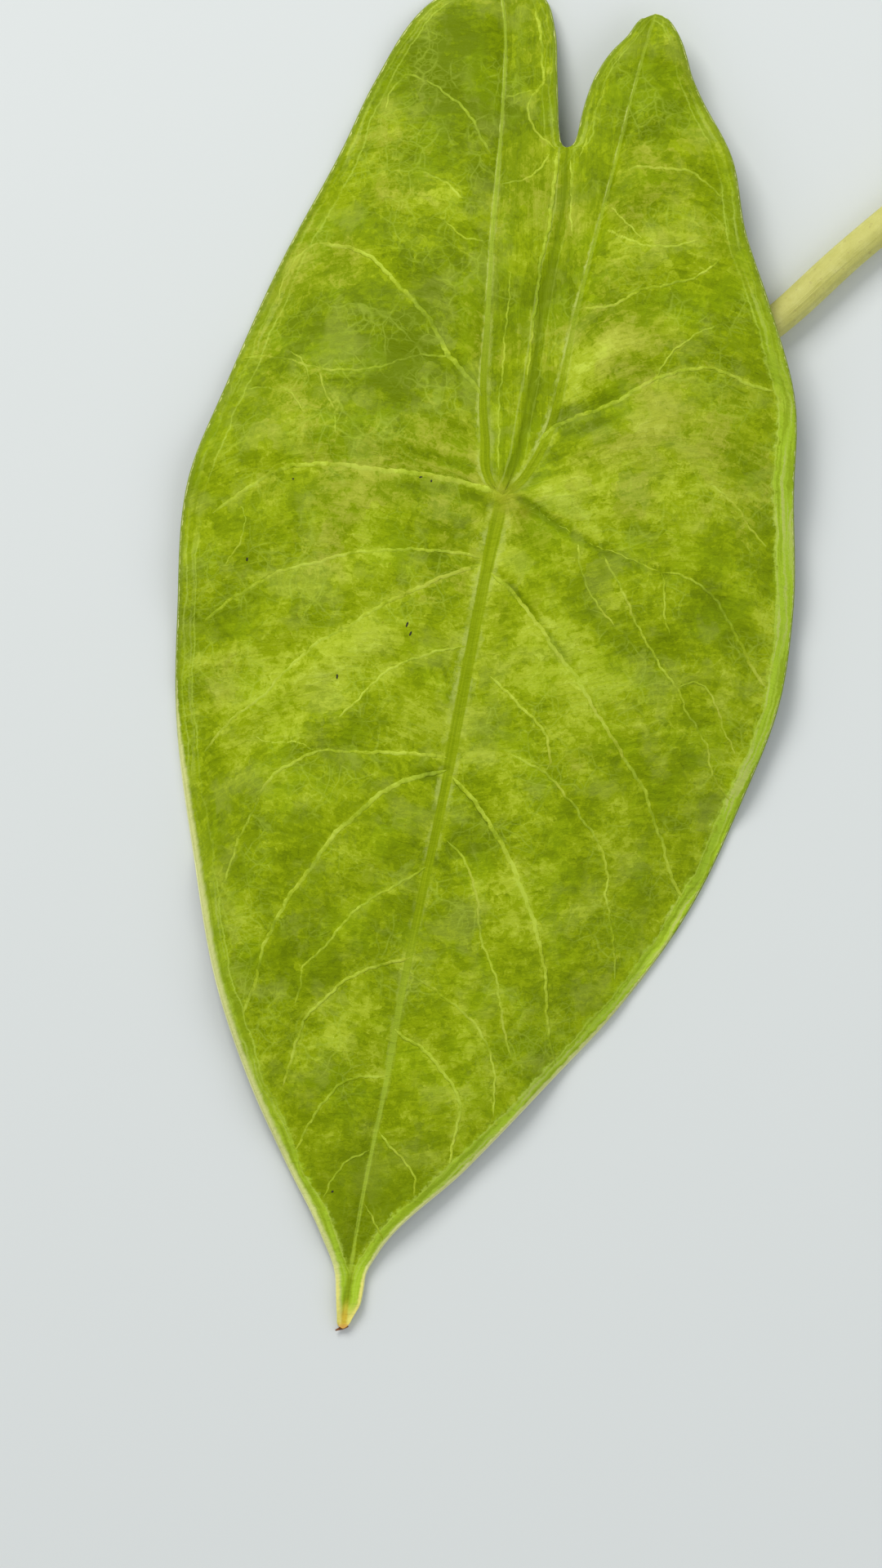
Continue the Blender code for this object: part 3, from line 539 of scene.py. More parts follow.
@dataclass
class HalfBlade:
    """One half of the blade as formulas of the level along the leaf and the share across."""

    side: Side
    margin_points: Pairs
    lobe_rib_points: Pairs
    notch_edge_points: Pairs
    side_ribs: list[tuple[float, float, float]]
    rib_height_points: Pairs
    margin_height_points: Pairs
    relief: Relief
    lamina: float = 0.8
    margin_bead: float = 1.1
    rib_at_meeting: float = 2.6
    rib_at_tips: float = 1.0
    rib_half_width: float = 1.5
    bulge: float = 0.75
    bulge_full_spacing: float = 14.0
    arch: float = 1.4
    droop_power: float = 1.7
    channel_depth: float = 0.5
    channel_half_width: float = 2.2
    ripple: float = 0.45
    ripple_length: float = 19.0
    fold_sink: float = 1.6
    margin_roll: float = 0.24
    rib_rise: float = 0.16
    arch_full_length: float = 50.0
    full_relief_length: float = 12.0
    relief_border: float = 4.0
    pucker_border: float = 5.0
    bead_width: float = 1.5
    no_margin: float = 30.0
    no_fold: float = 99.0

    def __post_init__(self) -> None:
        """Work out the smooth lines once."""
        self.top = self.margin_points[-1][1]
        self.notch = LOBE_FOLD[-1][1]
        self.margin = smooth_curve(self.margin_points, 2400)
        self.midrib = smooth_curve(MIDRIB)
        self.lobe_rib = smooth_curve(self.lobe_rib_points)
        self.fold = smooth_curve(LOBE_FOLD)
        self.notch_edge = smooth_curve(self.notch_edge_points)
        self.midrib_height = smooth_curve(MIDRIB_HEIGHT)
        self.rib_height = smooth_curve(self.rib_height_points)
        self.margin_height = smooth_curve(self.margin_height_points)
        self.mean_levels = np.linspace(0, 100, 201)
        self.mean_height = 0.5 * sum(
            np.interp(self.mean_levels, *smooth_curve(heights).T)
            for heights in (LEFT_RIB_HEIGHT, RIGHT_RIB_HEIGHT)
        )
        self.rib_table = np.array(self.side_ribs)

    def inner_line(self, y: Array) -> Array:
        """Return the midrib below the rib meeting and the lobe rib above it.

        Args:
            y: Levels along the leaf.

        Returns:
            The plan points.
        """
        below = at_level(self.midrib, np.minimum(y, 0.0))
        above = at_level(self.lobe_rib, np.maximum(y, 0.0))
        return np.where((y > 0.0)[..., None], above, below)

    def inner_height(self, y: Array) -> Array:
        """Return the height of the upper face along the midrib and the lobe rib.

        Args:
            y: Levels along the leaf.

        Returns:
            The heights.
        """
        below = np.interp(np.minimum(y, 0.0), *self.midrib_height.T)
        above = np.interp(np.maximum(y, 0.0), *self.rib_height.T)
        return np.where(y > 0.0, above, below)

    def inner_thickness(self, y: Array) -> Array:
        """Return the thickness at the middle of the midrib and the lobe rib.

        Args:
            y: Levels along the leaf.

        Returns:
            The thicknesses.
        """
        gain = self.rib_at_meeting - self.rib_at_tips
        below = self.rib_at_tips + gain * (1.0 - y / MIDRIB[0][1])
        above = self.rib_at_tips + gain * (1.0 - y / self.top) ** 2
        return np.where(y > 0.0, above, below)

    def rib_thickness(self, y: Array, distance: Array) -> Array:
        """Return the thickness at a distance from the midrib or the lobe rib."""
        gain = self.inner_thickness(y) - self.lamina
        return self.lamina + gain * hill(distance, self.rib_half_width)

    def row_plan(self, y: Array, t: Array) -> tuple[Array, Array]:
        """Return plan points of bowed rows from the inner line to the margin.

        A row is the straight line between its ends, plus a parabola across it that is
        highest in the middle, by the row's bow times its length.

        Args:
            y: Level where the row leaves the inner line.
            t: Share along the row, 0 at the inner line and 1 at the margin.

        Returns:
            The plan points, and the length of each row.
        """
        rib_y, end_y, bow = self.rib_table.T
        start = self.inner_line(y)
        end = at_level(self.margin, np.interp(y, rib_y, end_y))
        reach = end - start
        normal = np.stack([-reach[..., 1], reach[..., 0]], axis=-1) * self.side.value
        bend = (np.interp(y, rib_y, bow) * 4.0 * t * (1.0 - t))[..., None]
        plan = start + t[..., None] * reach + bend * normal
        return plan, np.linalg.norm(reach, axis=-1)

    def half(self, y: Array, t: Array) -> SheetPoint:
        """Return places between the inner line and the margin.

        The height runs from the rib's height to the margin's by a power of the share
        across, plus an arch, the bulges between side ribs and a ripple that grows towards the
        margin, less a channel over the midrib with a flat-topped swell in it. The relief of the
        veins and hollows, fine puckers and a roll along the margin come on top.

        Args:
            y: Level where the row leaves the inner line.
            t: Share along the row, 0 at the inner line and 1 at the margin.

        Returns:
            The places on the blade.
        """
        y, t = np.broadcast_arrays(y, t)
        rib_y, end_y, _ = self.rib_table.T
        out_y = np.interp(y, rib_y, end_y)
        plan, length = self.row_plan(y, t)
        from_inner = t * length
        to_margin = (1.0 - t) * length * self.margin_lean(y)
        inner_z = self.inner_height(y)
        margin_z = np.interp(out_y, *self.margin_height.T)
        height = inner_z + (margin_z - inner_z) * t**self.droop_power
        height = height + self.arch * np.sin(np.pi * t) * np.clip(length / self.arch_full_length, 0.0, 1.0)
        height = height + self.bulges(y, t)
        wave = np.sin(2 * np.pi * out_y / self.ripple_length)
        height = height + self.ripple * wave * t**3
        fade = np.clip(length / self.full_relief_length, 0.0, 1.0)
        height = height - self.channel_depth * hill(from_inner, self.channel_half_width) * fade
        height = height + self.rib_swell(y, from_inner) * fade
        height = height + self.relief.rise(plan) * np.clip(to_margin / self.relief_border, 0.0, 1.0)
        height = height + self.puckers(plan) * np.clip(to_margin / self.pucker_border, 0.0, 1.0) * fade
        roll = hill(to_margin - 1.9, 1.1) - 0.6 * hill(to_margin - 4.1, 0.7)
        height = height + self.margin_roll * roll * fade

        thick = self.rib_thickness(y, from_inner)
        bead = hill((1.0 - t) * length, self.bead_width)
        thick = np.maximum(thick, self.lamina + (self.margin_bead - self.lamina) * bead)
        across = y * (1.0 - t) + out_y * t
        grain = np.stack([self.side.value * from_inner, across, 0.0 * t], axis=-1)
        none = 0.0 * t
        fold = none + self.no_fold
        return SheetPoint(plan, height, thick, to_margin, from_inner, y + none, grain, none, fold)

    def rib_swell(self, y: Array, distance: Array) -> Array:
        """Return the rise of the flat-topped midrib or lobe rib, by a bell of the fourth power."""
        return self.rib_rise * np.exp(-((distance / rib_half_width(y)) ** 4))

    def margin_lean(self, y: Array) -> Array:
        """Return how square each row meets the margin, as the sine of their angle.

        Args:
            y: Levels along the leaf.

        Returns:
            The sines, held between 0.25 and 1.
        """
        rib_y, end_y, _ = self.rib_table.T
        out_y = np.interp(y, rib_y, end_y)
        ahead = at_level(self.margin, np.minimum(out_y + 1.0, self.top))
        behind = at_level(self.margin, np.maximum(out_y - 1.0, MIDRIB[0][1]))
        edge = ahead - behind
        full, _ = self.row_plan(y, np.ones_like(y))
        near, _ = self.row_plan(y, np.full_like(y, 0.93))
        row = full - near
        cross = np.abs(edge[..., 0] * row[..., 1] - edge[..., 1] * row[..., 0])
        size = np.linalg.norm(edge, axis=-1) * np.linalg.norm(row, axis=-1)
        return np.clip(cross / np.maximum(size, 1e-6), 0.25, 1.0)

    def bulges(self, y: Array, t: Array) -> Array:
        """Return the rise between side ribs, higher where they stand further apart.

        Args:
            y: Levels along the leaf.
            t: Shares along the rows, 0 at the inner line and 1 at the margin.

        Returns:
            The rises.
        """
        rib_y, end_y, _ = self.rib_table.T
        band = np.clip(np.searchsorted(rib_y, y, side="right") - 1, 0, len(rib_y) - 2)
        inner_gap = rib_y[band + 1] - rib_y[band]
        outer_gap = end_y[band + 1] - end_y[band]
        phase = (y - rib_y[band]) / inner_gap
        gap = inner_gap * (1.0 - t) + outer_gap * t
        size = self.bulge * np.clip(gap / self.bulge_full_spacing, 0.0, 1.0)
        return size * np.sin(np.pi * phase) ** 2 * np.clip(np.sin(np.pi * t), 0.0, 1.0) ** 0.7

    @staticmethod
    def puckers(plan: Array) -> Array:
        """Return fine uneven puckers: five crossed waves of 5 to 11 mm, 0.2 mm high in all.

        Args:
            plan: Plan points, in millimetres from the rib meeting.

        Returns:
            The rises.
        """
        x, y = plan[..., 0], plan[..., 1]
        waves = (
            (0.060, 0.47, 0.31, 0.3), (0.050, -0.36, 0.62, 1.9), (0.035, 0.88, -0.29, 4.1),
            (0.030, 0.21, 1.04, 2.6), (0.025, 1.18, 0.55, 5.2),
        )
        return sum(size * np.sin(a * x + b * y + c) for size, a, b, c in waves)

    def wedge(self, y: Array, t: Array) -> SheetPoint:
        """Return places between the lobe rib and the fold or the notch's edge.

        Rows are level and straight. The height runs from the lobe rib's to the mean of
        both lobe ribs, less a fold that deepens towards the middle of the leaf.

        Args:
            y: Level of the row.
            t: Share along the row, 0 at the lobe rib and 1 at the fold or edge.

        Returns:
            The places on the blade.
        """
        y, t = np.broadcast_arrays(y, t)
        start = at_level(self.lobe_rib, y)
        on_fold = at_level(self.fold, np.minimum(y, self.notch))
        on_edge = at_level(self.notch_edge, np.maximum(y, self.notch))
        end = np.where((y > self.notch)[..., None], on_edge, on_fold)
        plan = start + t[..., None] * (end - start)
        length = np.linalg.norm(end - start, axis=-1)
        sink = self.fold_sink * np.sin(np.pi * np.clip(y / self.top, 0.0, 1.0)) * t**1.5
        mean_height = np.interp(y, self.mean_levels, self.mean_height)
        own_height = self.inner_height(y)
        share = np.clip((y - self.notch) / (self.top - self.notch), 0.0, 1.0)
        far_height = mean_height + (own_height - mean_height) * share
        height = own_height * (1.0 - t) + far_height * t - sink
        _, row_length = self.row_plan(y, np.zeros_like(y))
        fade = np.clip(row_length / self.full_relief_length, 0.0, 1.0)
        height = height - self.channel_depth * hill(t * length, self.channel_half_width) * fade
        height = height + self.rib_swell(y, t * length) * fade + self.relief.rise(plan)
        thick = self.rib_thickness(y, t * length)
        free = (y > self.notch).astype(float)
        to_margin = np.where(free > 0, (1.0 - t) * length, self.no_margin)
        grain = np.stack([-self.side.value * t * length, y + 0.0 * t, 0.0 * t], axis=-1)
        inside = np.clip(t * length / 1.2, 0.0, 1.0)
        fold = np.where(free > 0, self.no_fold, self.side.value * (1.0 - t) * length)
        return SheetPoint(plan, height, thick, to_margin, t * length, y + 0.0 * t, grain, inside, fold)


def rib_half_width(y: Array) -> Array:
    """Return half the width of the midrib below the rib meeting, or of a lobe rib above it.

    Args:
        y: Levels along the leaf.

    Returns:
        The half widths, in millimetres.
    """
    below = np.interp(y, *np.array(MIDRIB_WIDTH, float).T)
    above = np.interp(y, *np.array(LOBE_RIB_WIDTH, float).T)
    return np.where(y > 0.0, above, below)


def make_halves(relief: Relief) -> dict[Side, HalfBlade]:
    """Return both halves of the blade, with the relief on them."""
    return {
        Side.LEFT: HalfBlade(
            Side.LEFT, LEFT_MARGIN, LEFT_LOBE_RIB, LEFT_NOTCH_EDGE, LEFT_SIDE_RIBS,
            LEFT_RIB_HEIGHT, LEFT_MARGIN_HEIGHT, relief,
        ),
        Side.RIGHT: HalfBlade(
            Side.RIGHT, RIGHT_MARGIN, RIGHT_LOBE_RIB, RIGHT_NOTCH_EDGE, RIGHT_SIDE_RIBS,
            RIGHT_RIB_HEIGHT, RIGHT_MARGIN_HEIGHT, relief,
        ),
    }


class NodeSheet:
    """A material's node tree, with short calls for the nodes that the finishes use."""

    def __init__(self, name: str) -> None:
        """Start a material that holds a Principled shader and its output.

        Args:
            name: The material's name.
        """
        self.material = bpy.data.materials.new(name)
        self.material.use_nodes = True
        self.tree = self.material.node_tree
        self.shader = self.tree.nodes["Principled BSDF"]

    def put(self, socket: Socket, value: object) -> None:
        """Link one input socket, or set it; a colour is given as it shows on a screen, 0 to 255."""
        if isinstance(value, Socket):
            self.tree.links.new(value, socket)
        elif isinstance(value, tuple) and len(value) == 3 and socket.type == "RGBA":
            socket.default_value = (*srgb(value), 1.0)
        else:
            socket.default_value = value

    def node(self, kind: str, output: str | int, inputs: dict | None = None, **settings: object) -> Socket:
        """Add a node, set it, link or set its inputs, and return one of its outputs.

        Args:
            kind: The node's type, without ShaderNode.
            output: Name or number of the output.
            inputs: What to link or set, by input.
            settings: What to set on the node itself.

        Returns:
            The output socket.
        """
        node = self.tree.nodes.new(f"ShaderNode{kind}")
        for name, value in settings.items():
            setattr(node, name, value)
        for name, value in (inputs or {}).items():
            self.put(node.inputs[name], value)
        return node.outputs[output]

    def object_mm(self) -> Socket:
        """Return the Object coordinates in millimetres."""
        return self.stretched(self.node("TexCoord", "Object"), (1.0 / MM,) * 3)

    def attribute(self, name: str, output: str = "Fac") -> Socket:
        """Return a mesh attribute."""
        return self.node("Attribute", output, attribute_name=name)

    def stretched(self, vector: Socket, scale: tuple[float, float, float]) -> Socket:
        """Return a vector times a scale."""
        return self.node("Mapping", "Vector", {"Vector": vector, "Scale": scale})

    def shifted(self, vector: Socket, step: float) -> Socket:
        """Return a vector moved upwards, to read another layer of a noise."""
        return self.node("Mapping", "Vector", {"Vector": vector, "Location": (0.0, 0.0, 10.0 * step)})

    def noise(self, vector: Socket, scale: float, detail: float = 4.0, roughness: float = 0.55,
              distortion: float = 0.0) -> Socket:
        """Return a noise value from 0 to 1."""
        return self.node("TexNoise", "Fac", {
            "Vector": vector, "Scale": scale, "Detail": detail, "Roughness": roughness,
            "Distortion": distortion,
        })

    def noise_vector(self, vector: Socket, scale: float) -> Socket:
        """Return a noise colour, as a vector from 0 to 1."""
        return self.node("TexNoise", "Color", {"Vector": vector, "Scale": scale, "Detail": 2.0})

    def parts(self, vector: Socket) -> list[Socket]:
        """Return the three parts of a vector.

        Args:
            vector: The vector.

        Returns:
            Its X, Y and Z sockets.
        """
        node = self.tree.nodes.new("ShaderNodeSeparateXYZ")
        self.tree.links.new(vector, node.inputs[0])
        return list(node.outputs)

    def joined(self, *parts: object) -> Socket:
        """Return the vector of three parts."""
        return self.node("CombineXYZ", "Vector", dict(enumerate(parts)))

    def dots(self, vector: Socket, cell: float) -> Socket:
        """Return the distance to scattered points that stand about cell apart."""
        return self.node("TexVoronoi", "Distance", {"Vector": vector, "Scale": 1.0 / cell})

    def cells(self, vector: Socket, size: float) -> list[Socket]:
        """Return three random numbers that are the same all over each patch about size wide."""
        return self.parts(self.node("TexVoronoi", "Color", {"Vector": vector, "Scale": 1.0 / size}))

    def net(self, vector: Socket, cell: float) -> Socket:
        """Return the distance to the edges of a net whose meshes are about cell wide."""
        inputs = {"Vector": vector, "Scale": 1.0 / cell}
        return self.node("TexVoronoi", "Distance", inputs, feature="DISTANCE_TO_EDGE")

    def math(self, operation: str, a: object, b: object = 0.0, c: object = 0.0,
             clamp: bool = False) -> Socket:
        """Return the result of one sum."""
        return self.node("Math", "Value", {0: a, 1: b, 2: c}, operation=operation, use_clamp=clamp)

    def times(self, a: object, b: object) -> Socket:
        """Return the product of two values."""
        return self.math("MULTIPLY", a, b)

    def shaken(self, base: object, by: Socket, share: object) -> Socket:
        """Return base moved by a share of a value that swings about 0.5."""
        return self.math("MULTIPLY_ADD", self.math("SUBTRACT", by, 0.5), share, base)

    def rib_ratio(self) -> Socket:
        """Return the distance to the midrib or lobe rib, in half widths of it."""
        return self.math("DIVIDE", self.attribute("rib"), self.attribute("rib_width"))

    def vector_add(self, a: object, b: object, scale: float) -> Socket:
        """Return a plus b times scale, for vectors."""
        return self.node("VectorMath", "Vector", {0: b, 1: (scale,) * 3, 2: a}, operation="MULTIPLY_ADD")

    def span(self, value: object, low: float, high: float, out_low: float = 0.0,
             out_high: float = 1.0) -> Socket:
        """Return value mapped smoothly from one range to another, clamped."""
        return self.node("MapRange", "Result", {
            "Value": value, "From Min": low, "From Max": high, "To Min": out_low, "To Max": out_high,
        }, interpolation_type="SMOOTHSTEP", clamp=True)

    def ramp(self, value: object, stops: list[tuple[float, Colour]]) -> Socket:
        """Return a colour read from stops.

        Args:
            value: What to read the colour by.
            stops: Places and colours.

        Returns:
            The colour.
        """
        node = self.tree.nodes.new("ShaderNodeValToRGB")
        node.color_ramp.interpolation = "EASE"
        elements = node.color_ramp.elements
        while len(elements) < len(stops):
            elements.new(0.5)
        for element, (place, colour) in zip(elements, stops):
            element.position = place
            element.color = (*srgb(colour), 1.0)
        self.put(node.inputs["Fac"], value)
        return node.outputs["Color"]

    def mix(self, share: object, a: object, b: object) -> Socket:
        """Return the mix of two colours."""
        return self.node("Mix", 2, {"Factor": share, 6: a, 7: b}, data_type="RGBA")

    def bump(self, height: object, distance: float) -> Socket:
        """Return a normal bent by a height, whose full range is distance in metres."""
        return self.node("Bump", "Normal", {"Distance": distance, "Strength": 1.0, "Height": height})

    def set(self, **values: object) -> None:
        """Set or link the shader's inputs, by names with _ for spaces."""
        for name, value in values.items():
            self.put(self.shader.inputs[name.replace("_", " ")], value)


def srgb(colour: Colour) -> Colour:
    """Return a linear colour from one given as it shows on a screen, 0 to 255.

    Args:
        colour: Red, green and blue as shown.

    Returns:
        The three linear values.
    """
    shown = np.array(colour, float) / 255.0
    linear = np.where(shown <= 0.04045, shown / 12.92, ((shown + 0.055) / 1.055) ** 2.4)
    return tuple(float(v) for v in linear)


@dataclass(frozen=True)
class BladeFinish:
    """The upper skin: variegated yellow-green with ragged patches, a net and a banded margin."""

    deep: Colour = (108, 128, 0)
    dark: Colour = (127, 148, 0)
    mid: Colour = (148, 168, 6)
    light: Colour = (173, 190, 42)
    pale: Colour = (194, 211, 70)
    tan: Colour = (173, 169, 72)
    # painted sheen: the grey-green of glossy patches
    veil: Colour = (170, 182, 76)
    fresh: Colour = (158, 190, 14)
    vein: Colour = (184, 206, 72)
    rib: Colour = (150, 170, 12)
    rib_shade: Colour = (132, 154, 2)
    rib_light: Colour = (174, 197, 62)
    meeting: Colour = (158, 164, 36)
    stain: Colour = (126, 126, 14)
    lime: Colour = (176, 208, 52)
    fray: Colour = (190, 204, 98)
    # painted shade: the dark outer line where the margin rolls down
    edge: Colour = (124, 144, 34)
    # painted rim light: the pale line where the lower edges catch the light
    rim: Colour = (226, 228, 150)
    tip_margin: Colour = (240, 230, 120)
    tip_core: Colour = (206, 172, 38)
    tip_end: Colour = (214, 164, 84)
    crest_share: float = 0.41

    def ragged(self, sheet: NodeSheet, place: Socket, bent: Socket) -> Socket:
        """Return the places with a fine shake on top of the broad bend, for torn patch edges."""
        fine = sheet.vector_add(bent, sheet.noise_vector(place, 0.55), 2.6)
        return sheet.vector_add(fine, sheet.noise_vector(place, 1.9), 0.8)

    def tone(self, sheet: NodeSheet, bent: Socket, ragged: Socket, flow: Socket, fibres: Socket) -> Socket:
        """Return how pale the tissue is, from 0 to 1.

        It is a middle tone, plus the placed clouds, a few of them a painted highlight and a painted sheen,
        less the painted shade of the hollows, which goes below zero along the veins and so makes them paler,
        plus noises, the random tones of ragged patches of three sizes and of patches drawn out along
        the side veins in two sizes, the fibres, the streaks round the rib meeting, the pale
        tissue beside the midrib, and a step along torn patch edges.

        Args:
            sheet: The material's nodes.
            bent: Object coordinates, broadly bent.
            ragged: Object coordinates, bent and finely shaken.
            flow: Coordinates drawn out along the side veins.
            fibres: Noise drawn out along the side veins.

        Returns:
            The tone.
        """
        # placed clouds, some of them a painted highlight and a painted sheen
        tone = sheet.math("MULTIPLY_ADD", sheet.attribute("cloud"), 0.17, 0.440)
        # painted shade of the hollows; below zero it makes the veins paler
        tone = sheet.math("MULTIPLY_ADD", sheet.attribute("shade"), -0.34, tone)
        for value, share in (
            (sheet.noise(bent, 0.060, 3.0, 0.55, 0.4), 0.40),
            (sheet.noise(bent, 0.26, 4.0, 0.62, 0.3), 0.25),
            (sheet.noise(ragged, 1.4, 3.0, 0.7), 0.34),
            (sheet.cells(ragged, 9.5)[0], 0.060),
            (sheet.cells(sheet.shifted(ragged, 3.0), 4.4)[0], 0.085),
            (sheet.cells(sheet.shifted(ragged, 5.0), 2.1)[0], 0.100),
            (sheet.cells(flow, 1.0)[0], 0.105),
            (sheet.cells(flow, 0.42)[0], 0.095),
            (fibres, 0.38),
            (self.star(sheet, sheet.object_mm()), 1.0),
            (self.flanks(sheet, bent), 1.0),
        ):
            tone = sheet.shaken(tone, value, share)
        torn = sheet.noise(sheet.shifted(ragged, 9.0), 0.17, 4.0, 0.6, 0.3)
        tone = sheet.math("ADD", tone, sheet.span(torn, 0.485, 0.53, -0.034, 0.034))
        return sheet.math("ADD", tone, 0.0, clamp=True)

    def flanks(self, sheet: NodeSheet, place: Socket) -> Socket:
        """Return how pale the tissue beside the midrib is: 0.5 where it is not.

        Args:
            sheet: The material's nodes.
            place: Coordinates of the noise.

        Returns:
            The tone to add, about 0.5.
        """
        ratio = sheet.rib_ratio()
        patchy = sheet.span(sheet.noise(place, 0.12, 3.0, 0.6), 0.36, 0.60, 0.0, 0.20)
        level = sheet.parts(sheet.attribute("grain", "Vector"))[1]
        beside = sheet.times(sheet.span(ratio, 0.9, 4.2, 1.0, 0.0), sheet.span(level, -88.0, -52.0))
        beside = sheet.times(beside, sheet.span(level, 2.0, 12.0, 1.0, 0.25))
        return sheet.math("MULTIPLY_ADD", beside, patchy, 0.5)

    def star(self, sheet: NodeSheet, place: Socket) -> Socket:
        """Return streaks that run out from where the ribs meet: 0.5 where there are none.

        They are a noise of the direction, so that each keeps its tone along its length.

        Args:
            sheet: The material's nodes.
            place: Object coordinates, in millimetres.

        Returns:
            The tone to add, about 0.5.
        """
        x, y, _ = sheet.parts(place)
        across = sheet.math("SUBTRACT", x, float(RIB_MEETING[0]))
        up = sheet.math("SUBTRACT", y, float(RIB_MEETING[1]))
        reach = sheet.math("SQRT", sheet.math("MULTIPLY_ADD", up, up, sheet.times(across, across)))
        turned = [sheet.times(sheet.math("DIVIDE", part, reach), 3.4) for part in (across, up)]
        rays = sheet.noise(sheet.joined(*turned, sheet.times(reach, 0.10)), 1.0, 3.0, 0.6)
        near = sheet.span(reach, 4.0, 15.0, 0.62, 0.0)
        return sheet.shaken(0.5, rays, near)

    def ground(self, sheet: NodeSheet, tone: Socket, bent: Socket, ragged: Socket) -> Socket:
        """Return the tissue's colour: the tone's green, with fresh and tan patches and patches of painted
        sheen.

        Args:
            sheet: The material's nodes.
            tone: How pale the tissue is, from 0 to 1.
            bent: Object coordinates, broadly bent.
            ragged: Object coordinates, bent and finely shaken.

        Returns:
            The colour.
        """
        colour = sheet.ramp(tone, [
            (0.18, self.deep), (0.36, self.dark), (0.50, self.mid), (0.64, self.light), (0.82, self.pale),
        ])
        tints = sheet.cells(sheet.shifted(ragged, 7.0), 5.2)
        fresh = sheet.noise(sheet.shifted(bent, 33.0), 0.085, 3.0, 0.6)
        fresh = sheet.math("MULTIPLY_ADD", tints[0], 0.13, fresh)
        colour = sheet.mix(sheet.span(fresh, 0.60, 0.68, 0.0, 0.15), colour, self.fresh)
        warm = sheet.math("MULTIPLY_ADD", sheet.attribute("tan"), 0.30, sheet.noise(bent, 0.055, 4.0, 0.6))
        warm = sheet.math("MULTIPLY_ADD", tints[1], 0.13, warm)
        warm = sheet.times(sheet.span(warm, 0.56, 0.74), sheet.span(tone, 0.36, 0.56))
        colour = sheet.mix(sheet.times(warm, 0.38), colour, self.tan)
        # patches of painted sheen
        painted_sheen = sheet.noise(sheet.shifted(bent, 21.0), 0.11, 4.0, 0.6)
        painted_sheen = sheet.math("MULTIPLY_ADD", tints[2], 0.12, painted_sheen)
        return sheet.mix(sheet.span(painted_sheen, 0.58, 0.74, 0.0, 0.26), colour, self.veil)

    def net(self, sheet: NodeSheet, place: Socket, bent: Socket, grain: Socket) -> Socket:
        """Return the fine net of veins: polygons inside, and ladders square to the margin.

        Args:
            sheet: The material's nodes.
            place: Object coordinates, in millimetres.
            bent: Object coordinates, broadly bent.
            grain: Distance from the rib, and level along the leaf.

        Returns:
            How strongly the net shows.
        """
        veil = sheet.span(sheet.noise(place, 0.10, 3.0, 0.6), 0.44, 0.62, 0.0, 1.0)
        coarse = sheet.span(sheet.net(bent, 5.2), 0.0, 0.045, 0.75, 0.0)
        fine_bent = sheet.vector_add(place, sheet.noise_vector(place, 0.5), 1.3)
        fine = sheet.span(sheet.net(fine_bent, 2.1), 0.0, 0.085, 0.50, 0.0)
        rungs = sheet.vector_add(grain, sheet.noise_vector(place, 0.30), 1.2)
        rungs = sheet.span(sheet.net(sheet.stretched(rungs, (0.22, 0.50, 1.0)), 1.0), 0.0, 0.060, 0.55, 0.0)
        rungs = sheet.times(rungs, sheet.span(sheet.attribute("margin"), 4.0, 19.0, 1.0, 0.1))
        net = sheet.math("MAXIMUM", sheet.math("MAXIMUM", coarse, fine), rungs)
        return sheet.times(net, veil)

    def ribs(self, sheet: NodeSheet, colour: Socket, place: Socket, grain: Socket) -> Socket:
        """Return the colour with the smooth midrib and lobe ribs, and their frayed pale borders.

        Args:
            sheet: The material's nodes.
            colour: The colour so far.
            place: Object coordinates, in millimetres.
            grain: Distance from the rib, and level along the leaf.

        Returns:
            The new colour.
        """
        ratio = sheet.rib_ratio()
        pale = sheet.attribute("rib_pale")
        feather = sheet.noise(sheet.stretched(grain, (1.1, 0.75, 1.0)), 1.0, 5.0, 0.74)
        frayed = sheet.shaken(ratio, feather, 3.0)
        patchy = sheet.span(sheet.noise(place, 0.20, 3.0, 0.6), 0.38, 0.58, 0.10, 1.0)
        border = sheet.times(sheet.span(ratio, 0.72, 0.98), sheet.span(frayed, 1.05, 1.95, 0.85, 0.0))
        border = sheet.times(border, sheet.times(patchy, sheet.attribute("border")))
        border = sheet.times(border, sheet.span(sheet.attribute("meeting"), 0.06, 0.40, 1.0, 0.15))
        colour = sheet.mix(border, colour, self.fray)
        lines = sheet.noise(sheet.stretched(grain, (2.6, 0.05, 1.0)), 1.0, 3.0, 0.55)
        core = sheet.mix(sheet.span(lines, 0.38, 0.64), self.rib_shade, self.rib)
        core = sheet.mix(pale, core, self.rib_light)
        ragged = sheet.shaken(ratio, feather, 0.8)
        cover = sheet.span(ragged, 0.72, 1.06, 0.90, 0.0)
        cover = sheet.times(cover, sheet.math("MULTIPLY_ADD", pale, -0.30, 1.0))
        cover = sheet.times(cover, sheet.attribute("cover"))
        cover = sheet.times(cover, sheet.span(sheet.attribute("meeting"), 0.10, 0.65, 1.0, 0.15))
        return sheet.mix(cover, colour, core)

    def fold(self, sheet: NodeSheet, colour: Socket, fibres: Socket) -> Socket:
        """Return the colour with painted shade in the crease between the lobes, and the pale lines beside it.

        Args:
            sheet: The material's nodes.
            colour: The colour so far.
            fibres: Noise drawn out along the side veins.

        Returns:
            The new colour.
        """
        off = sheet.shaken(sheet.attribute("fold"), fibres, 0.8)
        # dark and deep bands: painted shade in and beside the crease; fray and vein: the pale lines
        for centre, width, share, tint in (
            (0.15, 1.30, 0.42, self.dark), (0.10, 0.45, 0.50, self.deep), (-1.35, 0.26, 0.30, self.fray),
            (1.45, 0.22, 0.18, self.vein), (-2.60, 0.40, 0.30, self.dark), (2.50, 0.50, 0.25, self.dark),
        ):
            gap = sheet.math("ABSOLUTE", sheet.math("SUBTRACT", off, centre))
            colour = sheet.mix(sheet.span(gap, 0.35 * width, width, share, 0.0), colour, tint)
        return colour

